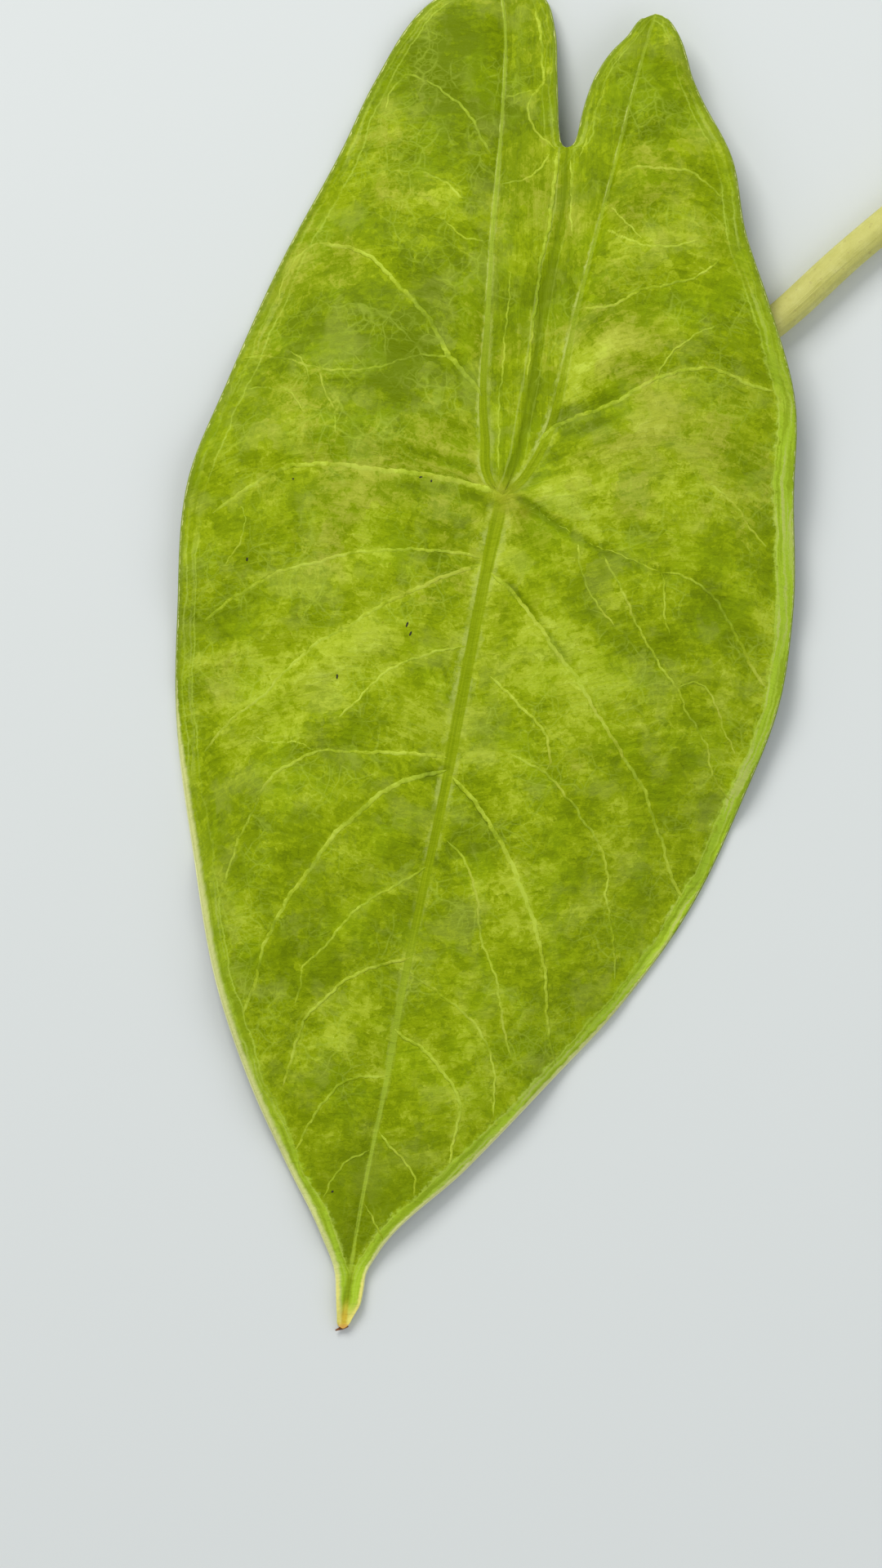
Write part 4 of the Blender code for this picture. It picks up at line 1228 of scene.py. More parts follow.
    def edges(self, sheet: NodeSheet, colour: Socket, place: Socket, grain: Socket) -> Socket:
        """Return the colour with the margin's band, its fine lines, and painted shade along its outer edge
        where the margin rolls down.

        The lines are the crests of a noise that is drawn out along the margin, so that they
        wave, run together and part again.

        Args:
            sheet: The material's nodes.
            colour: The colour so far.
            place: Object coordinates, in millimetres.
            grain: Distance from the rib, and level along the leaf.

        Returns:
            The new colour.
        """
        edge = sheet.attribute("margin")
        lime = sheet.attribute("lime")
        plain = sheet.math("SUBTRACT", 1.0, lime)
        band = sheet.attribute("band")
        sway = sheet.noise(place, 0.13, 2.0, 0.5)
        jitter = sheet.noise(place, 0.9, 3.0, 0.7)
        wavy = sheet.shaken(sheet.shaken(edge, jitter, 0.7), sway, 2.2)
        along = sheet.times(sheet.parts(grain)[1], 0.050)
        streaks = sheet.noise(sheet.joined(sheet.times(wavy, 1.15), along, 0.0), 1.0, 2.0, 0.5)
        fringe = sheet.shaken(wavy, jitter, 2.6)
        inside = sheet.span(sheet.math("SUBTRACT", fringe, band), -0.65, 0.65, 1.0, 0.0)
        colour = sheet.mix(sheet.times(sheet.times(inside, lime), 0.85), colour, self.lime)
        dim = sheet.times(sheet.span(streaks, 0.40, 0.50, 0.48, 0.0), inside)
        colour = sheet.mix(dim, colour, self.dark)
        fade = sheet.span(sheet.noise(place, 0.10, 3.0, 0.6), 0.36, 0.58, 0.15, 0.62)
        fade = sheet.math("MULTIPLY_ADD", lime, 0.30, fade)
        bright = sheet.times(sheet.span(streaks, 0.53, 0.62), sheet.times(inside, fade))
        bright = sheet.times(bright, sheet.math("MULTIPLY_ADD", lime, 0.75, 0.35))
        colour = sheet.mix(bright, colour, self.fray)
        for centre, width, share in ((0.42, 0.17, 0.45), (1.0, 0.18, 0.75)):
            off = sheet.math("ABSOLUTE", sheet.math("MULTIPLY_ADD", band, -centre, wavy))
            line = sheet.times(sheet.span(off, 0.3 * width, width, share, 0.0), fade)
            colour = sheet.mix(line, colour, self.vein)
        # painted shade along the outer edge where the margin rolls down
        painted_edge_shade = sheet.times(sheet.span(edge, 0.35, 0.80, 0.60, 0.0), plain)
        return sheet.mix(painted_edge_shade, colour, self.edge)

    def rim_light_line(self, sheet: NodeSheet, colour: Socket, fibres: Socket) -> Socket:
        """Return the colour with the painted rim light: a pale line that runs along the lower edges.

        Args:
            sheet: The material's nodes.
            colour: The colour so far.
            fibres: Noise drawn out along the side veins.

        Returns:
            The new colour.
        """
        shaken = sheet.shaken(sheet.attribute("margin"), fibres, 0.8)
        reach = sheet.math("DIVIDE", shaken, sheet.math("MULTIPLY_ADD", sheet.attribute("low"), 0.95, 0.05))
        return sheet.mix(sheet.span(reach, 0.35, 1.15, 0.82, 0.0), colour, self.rim)

    def tip(self, sheet: NodeSheet, colour: Socket, feather: Socket) -> Socket:
        """Return the colour with painted shade in the channel and along the midrib's groove, and the dried
        point of the drip tip.

        Args:
            sheet: The material's nodes.
            colour: The colour so far.
            feather: Noise that shakes the borders.

        Returns:
            The new colour.
        """
        above = sheet.attribute("tip")
        edge = sheet.shaken(sheet.attribute("margin"), feather, 0.9)
        rib = sheet.attribute("rib")
        # painted shade inside the channel between the rolled-up margins
        inner = sheet.times(sheet.span(above, 7.5, 12.0), sheet.span(above, 18.0, 44.0, 0.55, 0.0))
        inner = sheet.times(inner, sheet.span(rib, 0.30, 0.60))
        colour = sheet.mix(sheet.times(inner, sheet.span(edge, 2.2, 3.0)), colour, self.deep)
        rolled = sheet.times(sheet.span(edge, 1.5, 2.1, 0.50, 0.0), sheet.span(above, 9.0, 20.0, 1.0, 0.0))
        colour = sheet.mix(rolled, colour, self.lime)
        colour = self.rim_light_line(sheet, colour, feather)
        crooked = sheet.shaken(rib, feather, 0.7)
        # painted shade along the midrib's groove near the tip
        groove = sheet.times(sheet.span(crooked, 0.15, 0.95, 0.72, 0.0), sheet.span(above, 3.5, 5.5))
        groove = sheet.times(groove, sheet.span(above, 8.5, 11.5, 1.0, 0.0))
        colour = sheet.mix(groove, colour, self.dark)
        pale = sheet.times(sheet.span(edge, 0.25, 0.75, 0.85, 0.0), sheet.span(above, 7.0, 12.0, 1.0, 0.0))
        colour = sheet.mix(pale, colour, self.tip_margin)
        colour = sheet.mix(sheet.span(above, 1.6, 5.2, 0.80, 0.0), colour, self.tip_margin)
        core = sheet.times(sheet.span(crooked, 0.20, 0.80, 0.80, 0.0), sheet.span(above, 2.2, 6.2, 1.0, 0.0))
        colour = sheet.mix(core, colour, self.tip_core)
        return sheet.mix(sheet.span(above, 0.4, 1.2, 0.85, 0.0), colour, self.tip_end)

    def build(self) -> bpy.types.Material:
        """Return the material of the upper skin.

        Returns:
            The finished material.
        """
        sheet = NodeSheet("blade_upper_skin")
        place = sheet.object_mm()
        grain = sheet.attribute("grain", "Vector")
        inside = sheet.attribute("inside")
        bent = sheet.vector_add(place, sheet.noise_vector(place, 0.16), 3.5)
        ragged = self.ragged(sheet, place, bent)
        along_rows = sheet.noise(sheet.stretched(grain, (0.22, 0.80, 1.0)), 1.0, 5.0, 0.62, 0.3)
        along_lobe = sheet.noise(sheet.stretched(place, (1.5, 0.10, 1.0)), 1.0, 4.0, 0.64, 0.2)
        fibres = sheet.math(
            "ADD", sheet.times(along_lobe, inside),
            sheet.times(along_rows, sheet.math("SUBTRACT", 1.0, inside)),
        )
        shaken = sheet.noise_vector(place, 0.42)
        rows = sheet.stretched(sheet.vector_add(grain, shaken, 3.6), (0.11, 0.30, 1.0))
        lobes = sheet.stretched(sheet.vector_add(place, shaken, 2.4), (0.42, 0.08, 1.0))
        flow = sheet.mix(inside, rows, lobes)
        tone = self.tone(sheet, bent, ragged, flow, fibres)
        colour = self.ground(sheet, tone, bent, ragged)
        net = self.net(sheet, place, bent, grain)
        colour = sheet.mix(sheet.times(net, 0.42), colour, self.vein)
        specks = sheet.span(sheet.dots(bent, 4.2), 0.020, 0.050, 0.55, 0.0)
        colour = sheet.mix(specks, colour, self.stain)
        colour = self.fold(sheet, colour, fibres)
        colour = self.ribs(sheet, colour, place, grain)
        colour = self.edges(sheet, colour, place, grain)
        starry = sheet.times(sheet.attribute("meeting"), sheet.span(fibres, 0.35, 0.60, 0.45, 1.0))
        colour = sheet.mix(starry, colour, self.meeting)
        colour = sheet.mix(sheet.attribute("stain"), colour, self.stain)
        colour = self.tip(sheet, colour, fibres)

        relief = sheet.math("MULTIPLY_ADD", tone, 0.5, sheet.times(fibres, 0.7))
        sheet.set(
            Base_Color=colour,
            Roughness=sheet.span(fibres, 0.3, 0.7, 0.44, 0.58),
            Normal=sheet.bump(relief, 0.00032),
        )
        sheet.shader.inputs["Specular IOR Level"].default_value = 0.06
        return sheet.material

    def vein_skin(self) -> bpy.types.Material:
        """Return the material of the raised veins: the tissue's own colour, paler on the crest.

        Returns:
            The finished material.
        """
        sheet = NodeSheet("vein_skin")
        place = sheet.object_mm()
        bent = sheet.vector_add(place, sheet.noise_vector(place, 0.16), 3.5)
        ragged = self.ragged(sheet, place, bent)
        beads = sheet.noise(place, 0.7, 4.0, 0.7)
        colour = self.ground(sheet, self.tone(sheet, bent, ragged, ragged, beads), bent, ragged)
        patchy = sheet.noise(sheet.shifted(place, 4.0), 0.22, 3.0, 0.6)
        paler = sheet.span(patchy, 0.38, 0.60, 0.3 * self.crest_share, self.crest_share)
        strength = sheet.times(sheet.span(beads, 0.34, 0.64, 0.6, 1.2), paler)
        strength = sheet.times(strength, sheet.span(sheet.attribute("crest"), 0.05, 1.0))
        colour = sheet.mix(strength, colour, self.vein)
        sheet.set(Base_Color=colour, Roughness=sheet.span(beads, 0.3, 0.7, 0.48, 0.58))
        sheet.shader.inputs["Specular IOR Level"].default_value = 0.06
        return sheet.material


@dataclass(frozen=True)
class RimFinish:
    """The bead round the blade: olive green where the leaf is wide, darkened as painted shade where the
    margin rolls down, and a pale painted rim light towards the drip tip.
    """

    # olive green of the edge, darkened as painted shade where the margin rolls down
    green: Colour = (136, 156, 44)
    # painted rim light on the bead towards the drip tip
    rim_light: Colour = (230, 232, 168)

    def build(self) -> bpy.types.Material:
        """Return the material.

        Returns:
            The finished material.
        """
        sheet = NodeSheet("rim_skin")
        place = sheet.object_mm()
        tone = sheet.noise(place, 0.35, 4.0, 0.65)
        off = sheet.math("SUBTRACT", tone, 0.5)
        # low: how far the painted rim light shows
        low = sheet.math("MULTIPLY_ADD", off, 0.9, sheet.attribute("low"), clamp=True)
        colour = sheet.mix(low, self.green, self.rim_light)
        sheet.set(Base_Color=colour, Roughness=0.5, Normal=sheet.bump(sheet.noise(place, 2.4), 0.0001))
        sheet.shader.inputs["Specular IOR Level"].default_value = 0.2
        return sheet.material


@dataclass(frozen=True)
class UnderFinish:
    """The lower skin: paler and duller green, with pale side ribs and a faint pale net."""

    base: Colour = (138, 158, 52)
    light: Colour = (166, 182, 88)
    vein: Colour = (190, 202, 112)

    def build(self) -> bpy.types.Material:
        """Return the material.

        Returns:
            The finished material.
        """
        sheet = NodeSheet("blade_under_skin")
        place = sheet.object_mm()
        tone = sheet.noise(place, 0.12, 5.0, 0.6)
        colour = sheet.mix(sheet.span(tone, 0.3, 0.7), self.base, self.light)
        bent = sheet.vector_add(place, sheet.noise_vector(place, 0.3), 2.0)
        net = sheet.span(sheet.net(bent, 3.4), 0.0, 0.07, 1.0, 0.0)
        colour = sheet.mix(sheet.times(net, 0.35), colour, self.vein)
        side_ribs = sheet.span(sheet.attribute("shade"), -0.22, -0.05, 0.75, 0.0)
        colour = sheet.mix(side_ribs, colour, self.vein)
        ratio = sheet.rib_ratio()
        colour = sheet.mix(sheet.span(ratio, 0.8, 1.4, 0.8, 0.0), colour, self.vein)
        sheet.set(Base_Color=colour, Roughness=0.62, Normal=sheet.bump(net, 0.00004))
        sheet.shader.inputs["Specular IOR Level"].default_value = 0.2
        return sheet.material


@dataclass(frozen=True)
class StalkFinish:
    """The stalk's skin: pale yellow-green with lengthwise streaks and small tan specks."""

    base: Colour = (202, 199, 106)
    dark: Colour = (188, 185, 86)
    light: Colour = (218, 216, 132)
    speck: Colour = (168, 152, 84)
    top: Colour = (160, 176, 54)

    def build(self) -> bpy.types.Material:
        """Return the material.

        Returns:
            The finished material.
        """
        sheet = NodeSheet("stalk_skin")
        grain = sheet.attribute("grain", "Vector")
        place = sheet.object_mm()
        streaks = sheet.noise(sheet.stretched(grain, (5.0, 0.05, 1.0)), 1.0, 5.0, 0.65)
        clouds = sheet.noise(place, 0.42, 4.0, 0.6)
        tone = sheet.math("MULTIPLY_ADD", streaks, 0.4, sheet.times(clouds, 0.6))
        colour = sheet.ramp(tone, [(0.30, self.dark), (0.50, self.base), (0.72, self.light)])
        specks = sheet.span(sheet.noise(place, 1.1, 2.0, 0.5), 0.62, 0.72)
        colour = sheet.mix(sheet.times(specks, 0.38), colour, self.speck)
        colour = sheet.mix(sheet.attribute("low"), colour, self.top)
        sheet.set(
            Base_Color=colour,
            Roughness=sheet.span(streaks, 0.3, 0.7, 0.40, 0.55),
            Normal=sheet.bump(streaks, 0.00016),
        )
        sheet.shader.inputs["Specular IOR Level"].default_value = 0.35
        return sheet.material


@dataclass(frozen=True)
class CutFinish:
    """The cut end of the stalk: pale pith with small darker strands and a browned rim."""

    pith: Colour = (222, 220, 168)
    strand: Colour = (158, 160, 84)
    rim: Colour = (152, 128, 66)

    def build(self) -> bpy.types.Material:
        """Return the material.

        Returns:
            The finished material.
        """
        sheet = NodeSheet("stalk_cut")
        place = sheet.object_mm()
        dots = sheet.span(sheet.net(place, 0.8), 0.30, 0.42)
        colour = sheet.mix(sheet.times(dots, 0.7), self.pith, self.strand)
        colour = sheet.mix(sheet.span(sheet.attribute("across"), 0.78, 1.0, 0.0, 0.8), colour, self.rim)
        sheet.set(Base_Color=colour, Roughness=0.6, Normal=sheet.bump(dots, 0.0002))
        return sheet.material


@dataclass(frozen=True)
class DryFinish:
    """Dried tissue: brown with darker flecks."""

    name: str
    light: Colour
    dark: Colour

    def build(self) -> bpy.types.Material:
        """Return the material.

        Returns:
            The finished material.
        """
        sheet = NodeSheet(self.name)
        place = sheet.object_mm()
        tone = sheet.noise(place, 3.0, 4.0, 0.7)
        colour = sheet.mix(sheet.span(tone, 0.35, 0.65), self.dark, self.light)
        sheet.set(Base_Color=colour, Roughness=0.7, Normal=sheet.bump(tone, 0.0001))
        return sheet.material


def make_piece(name: str, points: Array, faces: list[list[int]]) -> bpy.types.Object:
    """Return a mesh object at the origin, linked to the scene and shaded smooth.

    Args:
        name: The piece's name.
        points: Its points, in metres.
        faces: The corners of each face.

    Returns:
        The mesh object.
    """
    mesh = bpy.data.meshes.new(name)
    mesh.from_pydata(points.reshape(-1, 3).tolist(), [], faces)
    mesh.validate()
    mesh.shade_smooth()
    piece = bpy.data.objects.new(name, mesh)
    bpy.context.scene.collection.objects.link(piece)
    return piece


def add_values(piece: bpy.types.Object, name: str, values: Array) -> None:
    """Store one number or one vector a vertex as a mesh attribute.

    Args:
        piece: The mesh object.
        name: The attribute's name.
        values: One row a vertex.
    """
    kind = "FLOAT" if values.ndim == 1 else "FLOAT_VECTOR"
    key = "value" if values.ndim == 1 else "vector"
    store = piece.data.attributes.new(name, kind, "POINT")
    store.data.foreach_set(key, values.astype(np.float32).ravel())


def grid_faces(rows: int, columns: int, start: int) -> Array:
    """Return the quads of a grid whose points are numbered along its rows."""
    first = (np.arange(rows - 1)[:, None] * columns + np.arange(columns - 1)[None, :]).ravel() + start
    return np.stack([first, first + 1, first + columns + 1, first + columns], axis=-1)


def even_columns(count: int, gather: float) -> Array:
    """Return shares from 0 to 1, part even and part gathered at both ends."""
    plain = np.arange(count + 1) / count
    return (1.0 - gather) * plain + gather * (0.5 - 0.5 * np.cos(np.pi * plain))


@dataclass
class Patch:
    """One grid of the sheet: its places, its side of the leaf, and whether it lies inside."""

    point: SheetPoint
    side: Side
    wedge: bool

    def turned(self) -> bool:
        """Return whether the grid's faces have to turn over to look up."""
        return (self.side is Side.LEFT) != self.wedge

    def border(self) -> Array:
        """Return how strongly the pale border beside the rib shows, above and below the rib meeting.

        Returns:
            One value a place.
        """
        above = {
            (Side.LEFT, False): 1.0, (Side.LEFT, True): 0.45,
            (Side.RIGHT, False): 0.2, (Side.RIGHT, True): 1.0,
        }
        below = 0.75 if self.side is Side.LEFT else 0.55
        below = below * (0.35 + 0.65 * np.clip((self.point.level + 80.0) / 30.0, 0.0, 1.0))
        share = np.clip(self.point.level / 4.0, 0.0, 1.0)
        return below + (above[self.side, self.wedge] - below) * share

    def cover(self) -> Array:
        """Return how fully the rib's own colour shows: less on the right lobe rib."""
        soft = np.clip((self.point.level - 2.0) / 6.0, 0.0, 1.0) if self.side is Side.RIGHT else 0.0
        return 1.0 - 0.42 * soft * np.ones(self.point.level.shape)

    def rim_light_width(self) -> Array:
        """Return how wide the painted rim light is: full on the left of the leaf, less on the right."""
        return np.full(self.point.level.shape, 1.0 if self.side is Side.LEFT else 0.5)

    def from_table(self, left: Pairs, right: Pairs) -> Array:
        """Return the value that this side's table gives at the level along the leaf."""
        pairs = left if self.side is Side.LEFT else right
        return np.interp(self.point.plan[..., 1], *np.array(pairs, float).T)

    def lime(self) -> Array:
        """Return how far the margin's band is lime."""
        return self.from_table(LEFT_LIME, RIGHT_LIME)

    def band(self) -> Array:
        """Return how wide the margin's band is."""
        return self.from_table(LEFT_BAND, RIGHT_BAND)


@dataclass
class Blade:
    """The blade: upper and lower skin in one closed sheet."""

    halves: dict[Side, HalfBlade]
    relief: Relief
    row_step: float = 1.02
    columns: int = 54
    wedge_columns: int = 16
    gather: float = 0.55
    merge: float = 0.004
    rounding_rows: list[float] = field(default_factory=lambda: [
        -147.8, -147.5, -147.2, 61.94, 62.0, 62.1, 62.25, 62.45, 62.7, 63.1, 63.6,
        90.6, 91.2, 91.6, 91.9, 92.1, 92.25, 92.36, 92.44,
    ])

    def levels(self) -> Array:
        """Return the rows' levels: one at each side rib, and enough between them.

        Returns:
            The levels, in rising order.
        """
        notch = LOBE_FOLD[-1][1]
        top = LEFT_MARGIN[-1][1]
        starts = sorted({rib[0] for rib in LEFT_SIDE_RIBS + RIGHT_SIDE_RIBS if rib[0] < notch} | {0.0, notch})
        starts.append(top)
        rows: list[float] = []
        for low, high in zip(starts[:-1], starts[1:]):
            ends = [np.interp([low, high], *half.rib_table.T[:2]) for half in self.halves.values()]
            widest = max([high - low] + [float(end[1] - end[0]) for end in ends])
            count = max(1, math.ceil(widest / self.row_step))
            rows.extend(np.linspace(low, high, count, endpoint=False))
        rows.append(top)
        return np.array(sorted(rows + self.rounding_rows))

    def patches(self) -> list[Patch]:
        """Return the four patches of the sheet.

        Returns:
            The patches, one for each half and one for each half's wedge.
        """
        rows = self.levels()
        notch = LOBE_FOLD[-1][1]
        across = even_columns(self.columns, self.gather)[None, :]
        inside = even_columns(self.wedge_columns, self.gather)[None, :]
        share = (rows - notch) / (LEFT_MARGIN[-1][1] - notch)
        found = []
        for side, half in self.halves.items():
            y = np.where(rows > notch, notch + share * (half.top - notch), rows)
            found.append(Patch(half.half(y[:, None], across), side, False))
            found.append(Patch(half.wedge(y[y >= 0.0][:, None], inside), side, True))
        return found

    def build(self) -> None:
        """Build, dress and place the blade."""
        patches = self.patches()
        faces = []
        start = 0
        for patch in patches:
            quads = grid_faces(*patch.point.height.shape, start)
            faces.append(quads[:, ::-1] if patch.turned() else quads)
            start += patch.point.height.size
        upper = np.concatenate([patch.point.upper().reshape(-1, 3) for patch in patches])
        under = np.concatenate([patch.point.under().reshape(-1, 3) for patch in patches])
        upper, under, faces, kept = self.weld(upper, under, np.concatenate(faces))
        total = len(upper)
        lower = [[corner + total for corner in face[::-1]] for face in faces]
        piece = make_piece(
            "blade_skin", np.concatenate([upper, under]), faces + lower + rim_faces(faces, total)
        )
        self.dress(piece, patches, kept, upper)
        skins = np.full(len(piece.data.polygons), Skin.UPPER.value, np.int32)
        skins[len(faces):2 * len(faces)] = Skin.UNDER.value
        piece.data.polygons.foreach_set("material_index", skins)
        triangles = sum(len(face.vertices) - 2 for face in piece.data.polygons)
        LOG.info("blade_skin: %d triangles", triangles)

    def dress(self, piece: bpy.types.Object, patches: list[Patch], kept: Array,
              upper: Array) -> None:
        """Store what the materials read, and put the materials on.

        Args:
            piece: The blade.
            patches: The patches of the sheet.
            kept: Which of their places the mesh kept.
            upper: Points of the upper skin.
        """
        def gather(read: Callable[[Patch], Array]) -> Array:
            """Return what read gives for all patches, at the kept places."""
            return np.concatenate([read(patch).ravel() for patch in patches])[kept]

        level = gather(lambda patch: patch.point.level)
        plan = upper[:, :2] / MM - RIB_MEETING
        grain = np.concatenate([patch.point.grain.reshape(-1, 3) for patch in patches])[kept]
        values = {
            "margin": gather(lambda patch: patch.point.to_margin),
            "rib": gather(lambda patch: patch.point.to_rib),
            "inside": gather(lambda patch: patch.point.inside),
            "fold": gather(lambda patch: patch.point.fold),
            "border": gather(Patch.border),
            "cover": gather(Patch.cover),
            "lime": gather(Patch.lime),
            "band": gather(Patch.band),
            "grain": grain,
            # low: how far the painted rim light shows along the lower edges
            "low": rim_light_share(plan) * gather(Patch.rim_light_width),
            "rib_width": rib_half_width(level),
            "rib_pale": np.clip((-74.0 - level) / 32.0, 0.0, 1.0) + np.clip((level - 18.0) / 25.0, 0.0, 1.0),
            "cloud": placed_clouds(plan),
            "tan": tan_share(plan),
            # shade: painted shade of the hollows, below zero the pale bands along the veins
            "shade": self.relief.shade.read(plan),
            "meeting": 0.70 * hill(np.linalg.norm(plan - (-0.4, -0.2), axis=1), 3.0),
            "stain": 0.60 * hill(np.linalg.norm(plan - (3.1, -3.0), axis=1), 1.2),
            "tip": plan[:, 1] - MIDRIB[0][1],
        }
        for name, value in values.items():
            add_values(piece, name, np.concatenate([value, value]))
        piece.data.materials.append(BladeFinish().build())
        piece.data.materials.append(UnderFinish().build())
        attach(piece, ROOT)
        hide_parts(BLADE_NODE)

    def weld(self, upper: Array, under: Array,
             faces: Array) -> tuple[Array, Array, list[list[int]], Array]:
        """Join points that lie on one another and drop the faces that this closes.

        Args:
            upper: Points of the upper skin.
            under: Points of the lower skin.
            faces: Quads of the upper skin.

        Returns:
            The kept points of both skins, the faces, and which points were kept.
        """
        keys = np.round(upper[:, :2] / (self.merge * MM)).astype(np.int64)
        _, kept, back = np.unique(keys, axis=0, return_index=True, return_inverse=True)
        result = []
        for quad in back.ravel()[faces].tolist():
            corners = [c for i, c in enumerate(quad) if c != quad[i - 1]]
            if len(set(corners)) == len(corners) and len(corners) > 2:
                result.append(corners)
        return upper[kept], under[kept], result, kept


def rim_light_share(plan: Array) -> Array:
    """Return how far the painted rim light shows: below the widest part on the left, near the tip on the
    right.

    Args:
        plan: Plan points, in millimetres from the rib meeting.

    Returns:
        The shares, from 0 to 1.
    """
    left = plan[:, 0] < MIDRIB[0][0] + 0.16 * (plan[:, 1] - MIDRIB[0][1])
    start = np.where(left, -30.0, -78.0)
    return np.clip((start - plan[:, 1]) / 20.0, 0.0, 1.0)


def placed_clouds(plan: Array) -> Array:
    """Return the sum of the clouds: a bell at each, over a plan that is bent by waves; a few of them are a
    painted highlight and a painted sheen.

    Args:
        plan: Plan points, in millimetres from the rib meeting.

    Returns:
        How pale (above zero) or dark (below zero) each point is.
    """
    x = plan[:, 0] + 1.8 * np.sin(0.35 * plan[:, 1]) + 0.9 * np.sin(0.83 * plan[:, 1] + 1.0)
    y = plan[:, 1] + 1.6 * np.sin(0.41 * plan[:, 0] + 2.0) + 0.8 * np.sin(0.97 * plan[:, 0])
    total = np.zeros(len(plan))
    for cx, cy, radius, strength in CLOUDS:
        total += strength * hill(np.hypot(x - cx, y - cy), radius)
    return np.clip(total, -1.7, 1.9)


def tan_share(plan: Array) -> Array:
    """Return how far the tissue leans to tan: a bell at each tan patch, and more towards the lobes.

    Args:
        plan: Plan points, in millimetres from the rib meeting.

    Returns:
        The shares.
    """
    total = 0.0
    for x, y, stretch, radius, strength in TAN_PATCHES:
        total = total + strength * hill(np.linalg.norm((plan - (x, y)) / (stretch, 1.0), axis=1), radius)
    return total + 0.45 * np.clip((plan[:, 1] - 8.0) / 50.0, -1.0, 0.4)


def rim_faces(faces: list[list[int]], total: int) -> list[list[int]]:
    """Return the walls that join an upper and a lower skin along their free edges.

    Args:
        faces: The upper skin's faces.
        total: How many points the upper skin has; the lower skin's follow them.

    Returns:
        One quad for each free edge.
    """
    edges = set()
    for face in faces:
        edges.update(zip(face, face[1:] + face[:1]))
    return [[b, a, a + total, b + total] for a, b in edges if (b, a) not in edges]


class SurfaceMap:
    """The height of the blade's upper face at any plan point."""

    def __init__(self, halves: dict[Side, HalfBlade], rows: int = 1300, columns: int = 220,
                 wedge_columns: int = 50, growth: int = 30) -> None:
        """Average close samples of the sheet in each cell, and grow them past the margin.

        Args:
            halves: Both halves of the blade.
            rows: Rows of samples.
            columns: Samples from the inner line to the margin.
            wedge_columns: Samples from the lobe rib to the fold.
            growth: How many cells the map reaches past the margin.
        """
        self.map = PlanMap()
        points = []
        for half in halves.values():
            y = np.linspace(LEFT_MARGIN[0][1], half.top, rows)[:, None]
            points.append(half.half(y, np.linspace(0.0, 1.0, columns)[None, :]))
            points.append(half.wedge(y[y[:, 0] >= 0.0], np.linspace(0.0, 1.0, wedge_columns)[None, :]))
        plan = np.concatenate([point.plan.reshape(-1, 2) for point in points])
        height = np.concatenate([np.maximum(point.height, point.thick).ravel() for point in points])
        shape = self.map.values.shape
        cell = np.round((plan - self.map.low) / self.map.cell).astype(int)
        flat = np.ravel_multi_index(cell.T, shape)
        count = np.bincount(flat, minlength=self.map.values.size).reshape(shape).astype(float)
        total = np.bincount(flat, weights=height, minlength=self.map.values.size).reshape(shape)
        for _ in range(growth):
            known = count > 0
            value = np.where(known, total / np.maximum(count, 1e-9), 0.0)
            near = sum(np.roll(known, step, axis).astype(float) for axis in (0, 1) for step in (-1, 1))
            sums = sum(np.roll(value, step, axis) for axis in (0, 1) for step in (-1, 1))
            fresh = ~known & (near > 0)
            total = np.where(fresh, sums / np.maximum(near, 1.0), value)
            count = (known | fresh).astype(float)
        self.map.values = total

    def on_top(self, plan: Array, lift: float = 0.0) -> Array:
        """Return points on the upper face over plan points, raised by lift, in metres."""
        height = self.map.read(plan) + lift
        return np.concatenate([plan + RIB_MEETING, height[..., None]], axis=-1) * MM


@dataclass
class Strand:
    """The path of a vein, the rim, the hook or a scar, with its half width and rise, in metres."""

    path: Array
    half_width: Array
    rise: Array


def tube_faces(rows: int, sides: int, start: int = 0) -> list[list[int]]:
    """Return the quads round a tube whose rings follow one another, and its two end faces.

    Args:
        rows: How many rings.
        sides: Points of a ring.
        start: Number of the first ring's first point.

    Returns:
        The corners of each face.
    """
    index = start + np.arange(rows)[:, None] * sides + np.append(np.arange(sides), 0)
    quads = np.stack([index[:-1, :-1], index[:-1, 1:], index[1:, 1:], index[1:, :-1]], axis=-1)
    return quads.reshape(-1, 4).tolist() + [index[0, -2::-1].tolist(), index[-1, :-1].tolist()]


def ring_tubes(strands: list[Strand], sides: int) -> tuple[Array, list]:
    """Carry an oval along each path and close its ends.

    The oval lies flat on the surface: its width runs level across the path, and its
    height straight up.

    Args:
        strands: The paths.
        sides: Corners of the oval.

    Returns:
        The points and the faces.
    """
    turn = 2 * np.pi * np.arange(sides) / sides
    points: list[Array] = []
    faces: list = []
    start = 0
    for strand in strands:
        ahead = np.gradient(strand.path, axis=0)
        flat = np.stack([-ahead[:, 1], ahead[:, 0], 0.0 * ahead[:, 0]], axis=-1)
        flat /= np.maximum(np.linalg.norm(flat, axis=1), 1e-12)[:, None]
        ring = (
            strand.path[:, None, :]
            + np.cos(turn)[None, :, None] * strand.half_width[:, None, None] * flat[:, None, :]
            + np.sin(turn)[None, :, None] * strand.rise[:, None, None] * np.array([0.0, 0.0, 1.0])
        )
        points.append(ring.reshape(-1, 3))
        faces.extend(tube_faces(len(strand.path), sides, start))
        start += len(strand.path) * sides
    return np.concatenate(points), faces


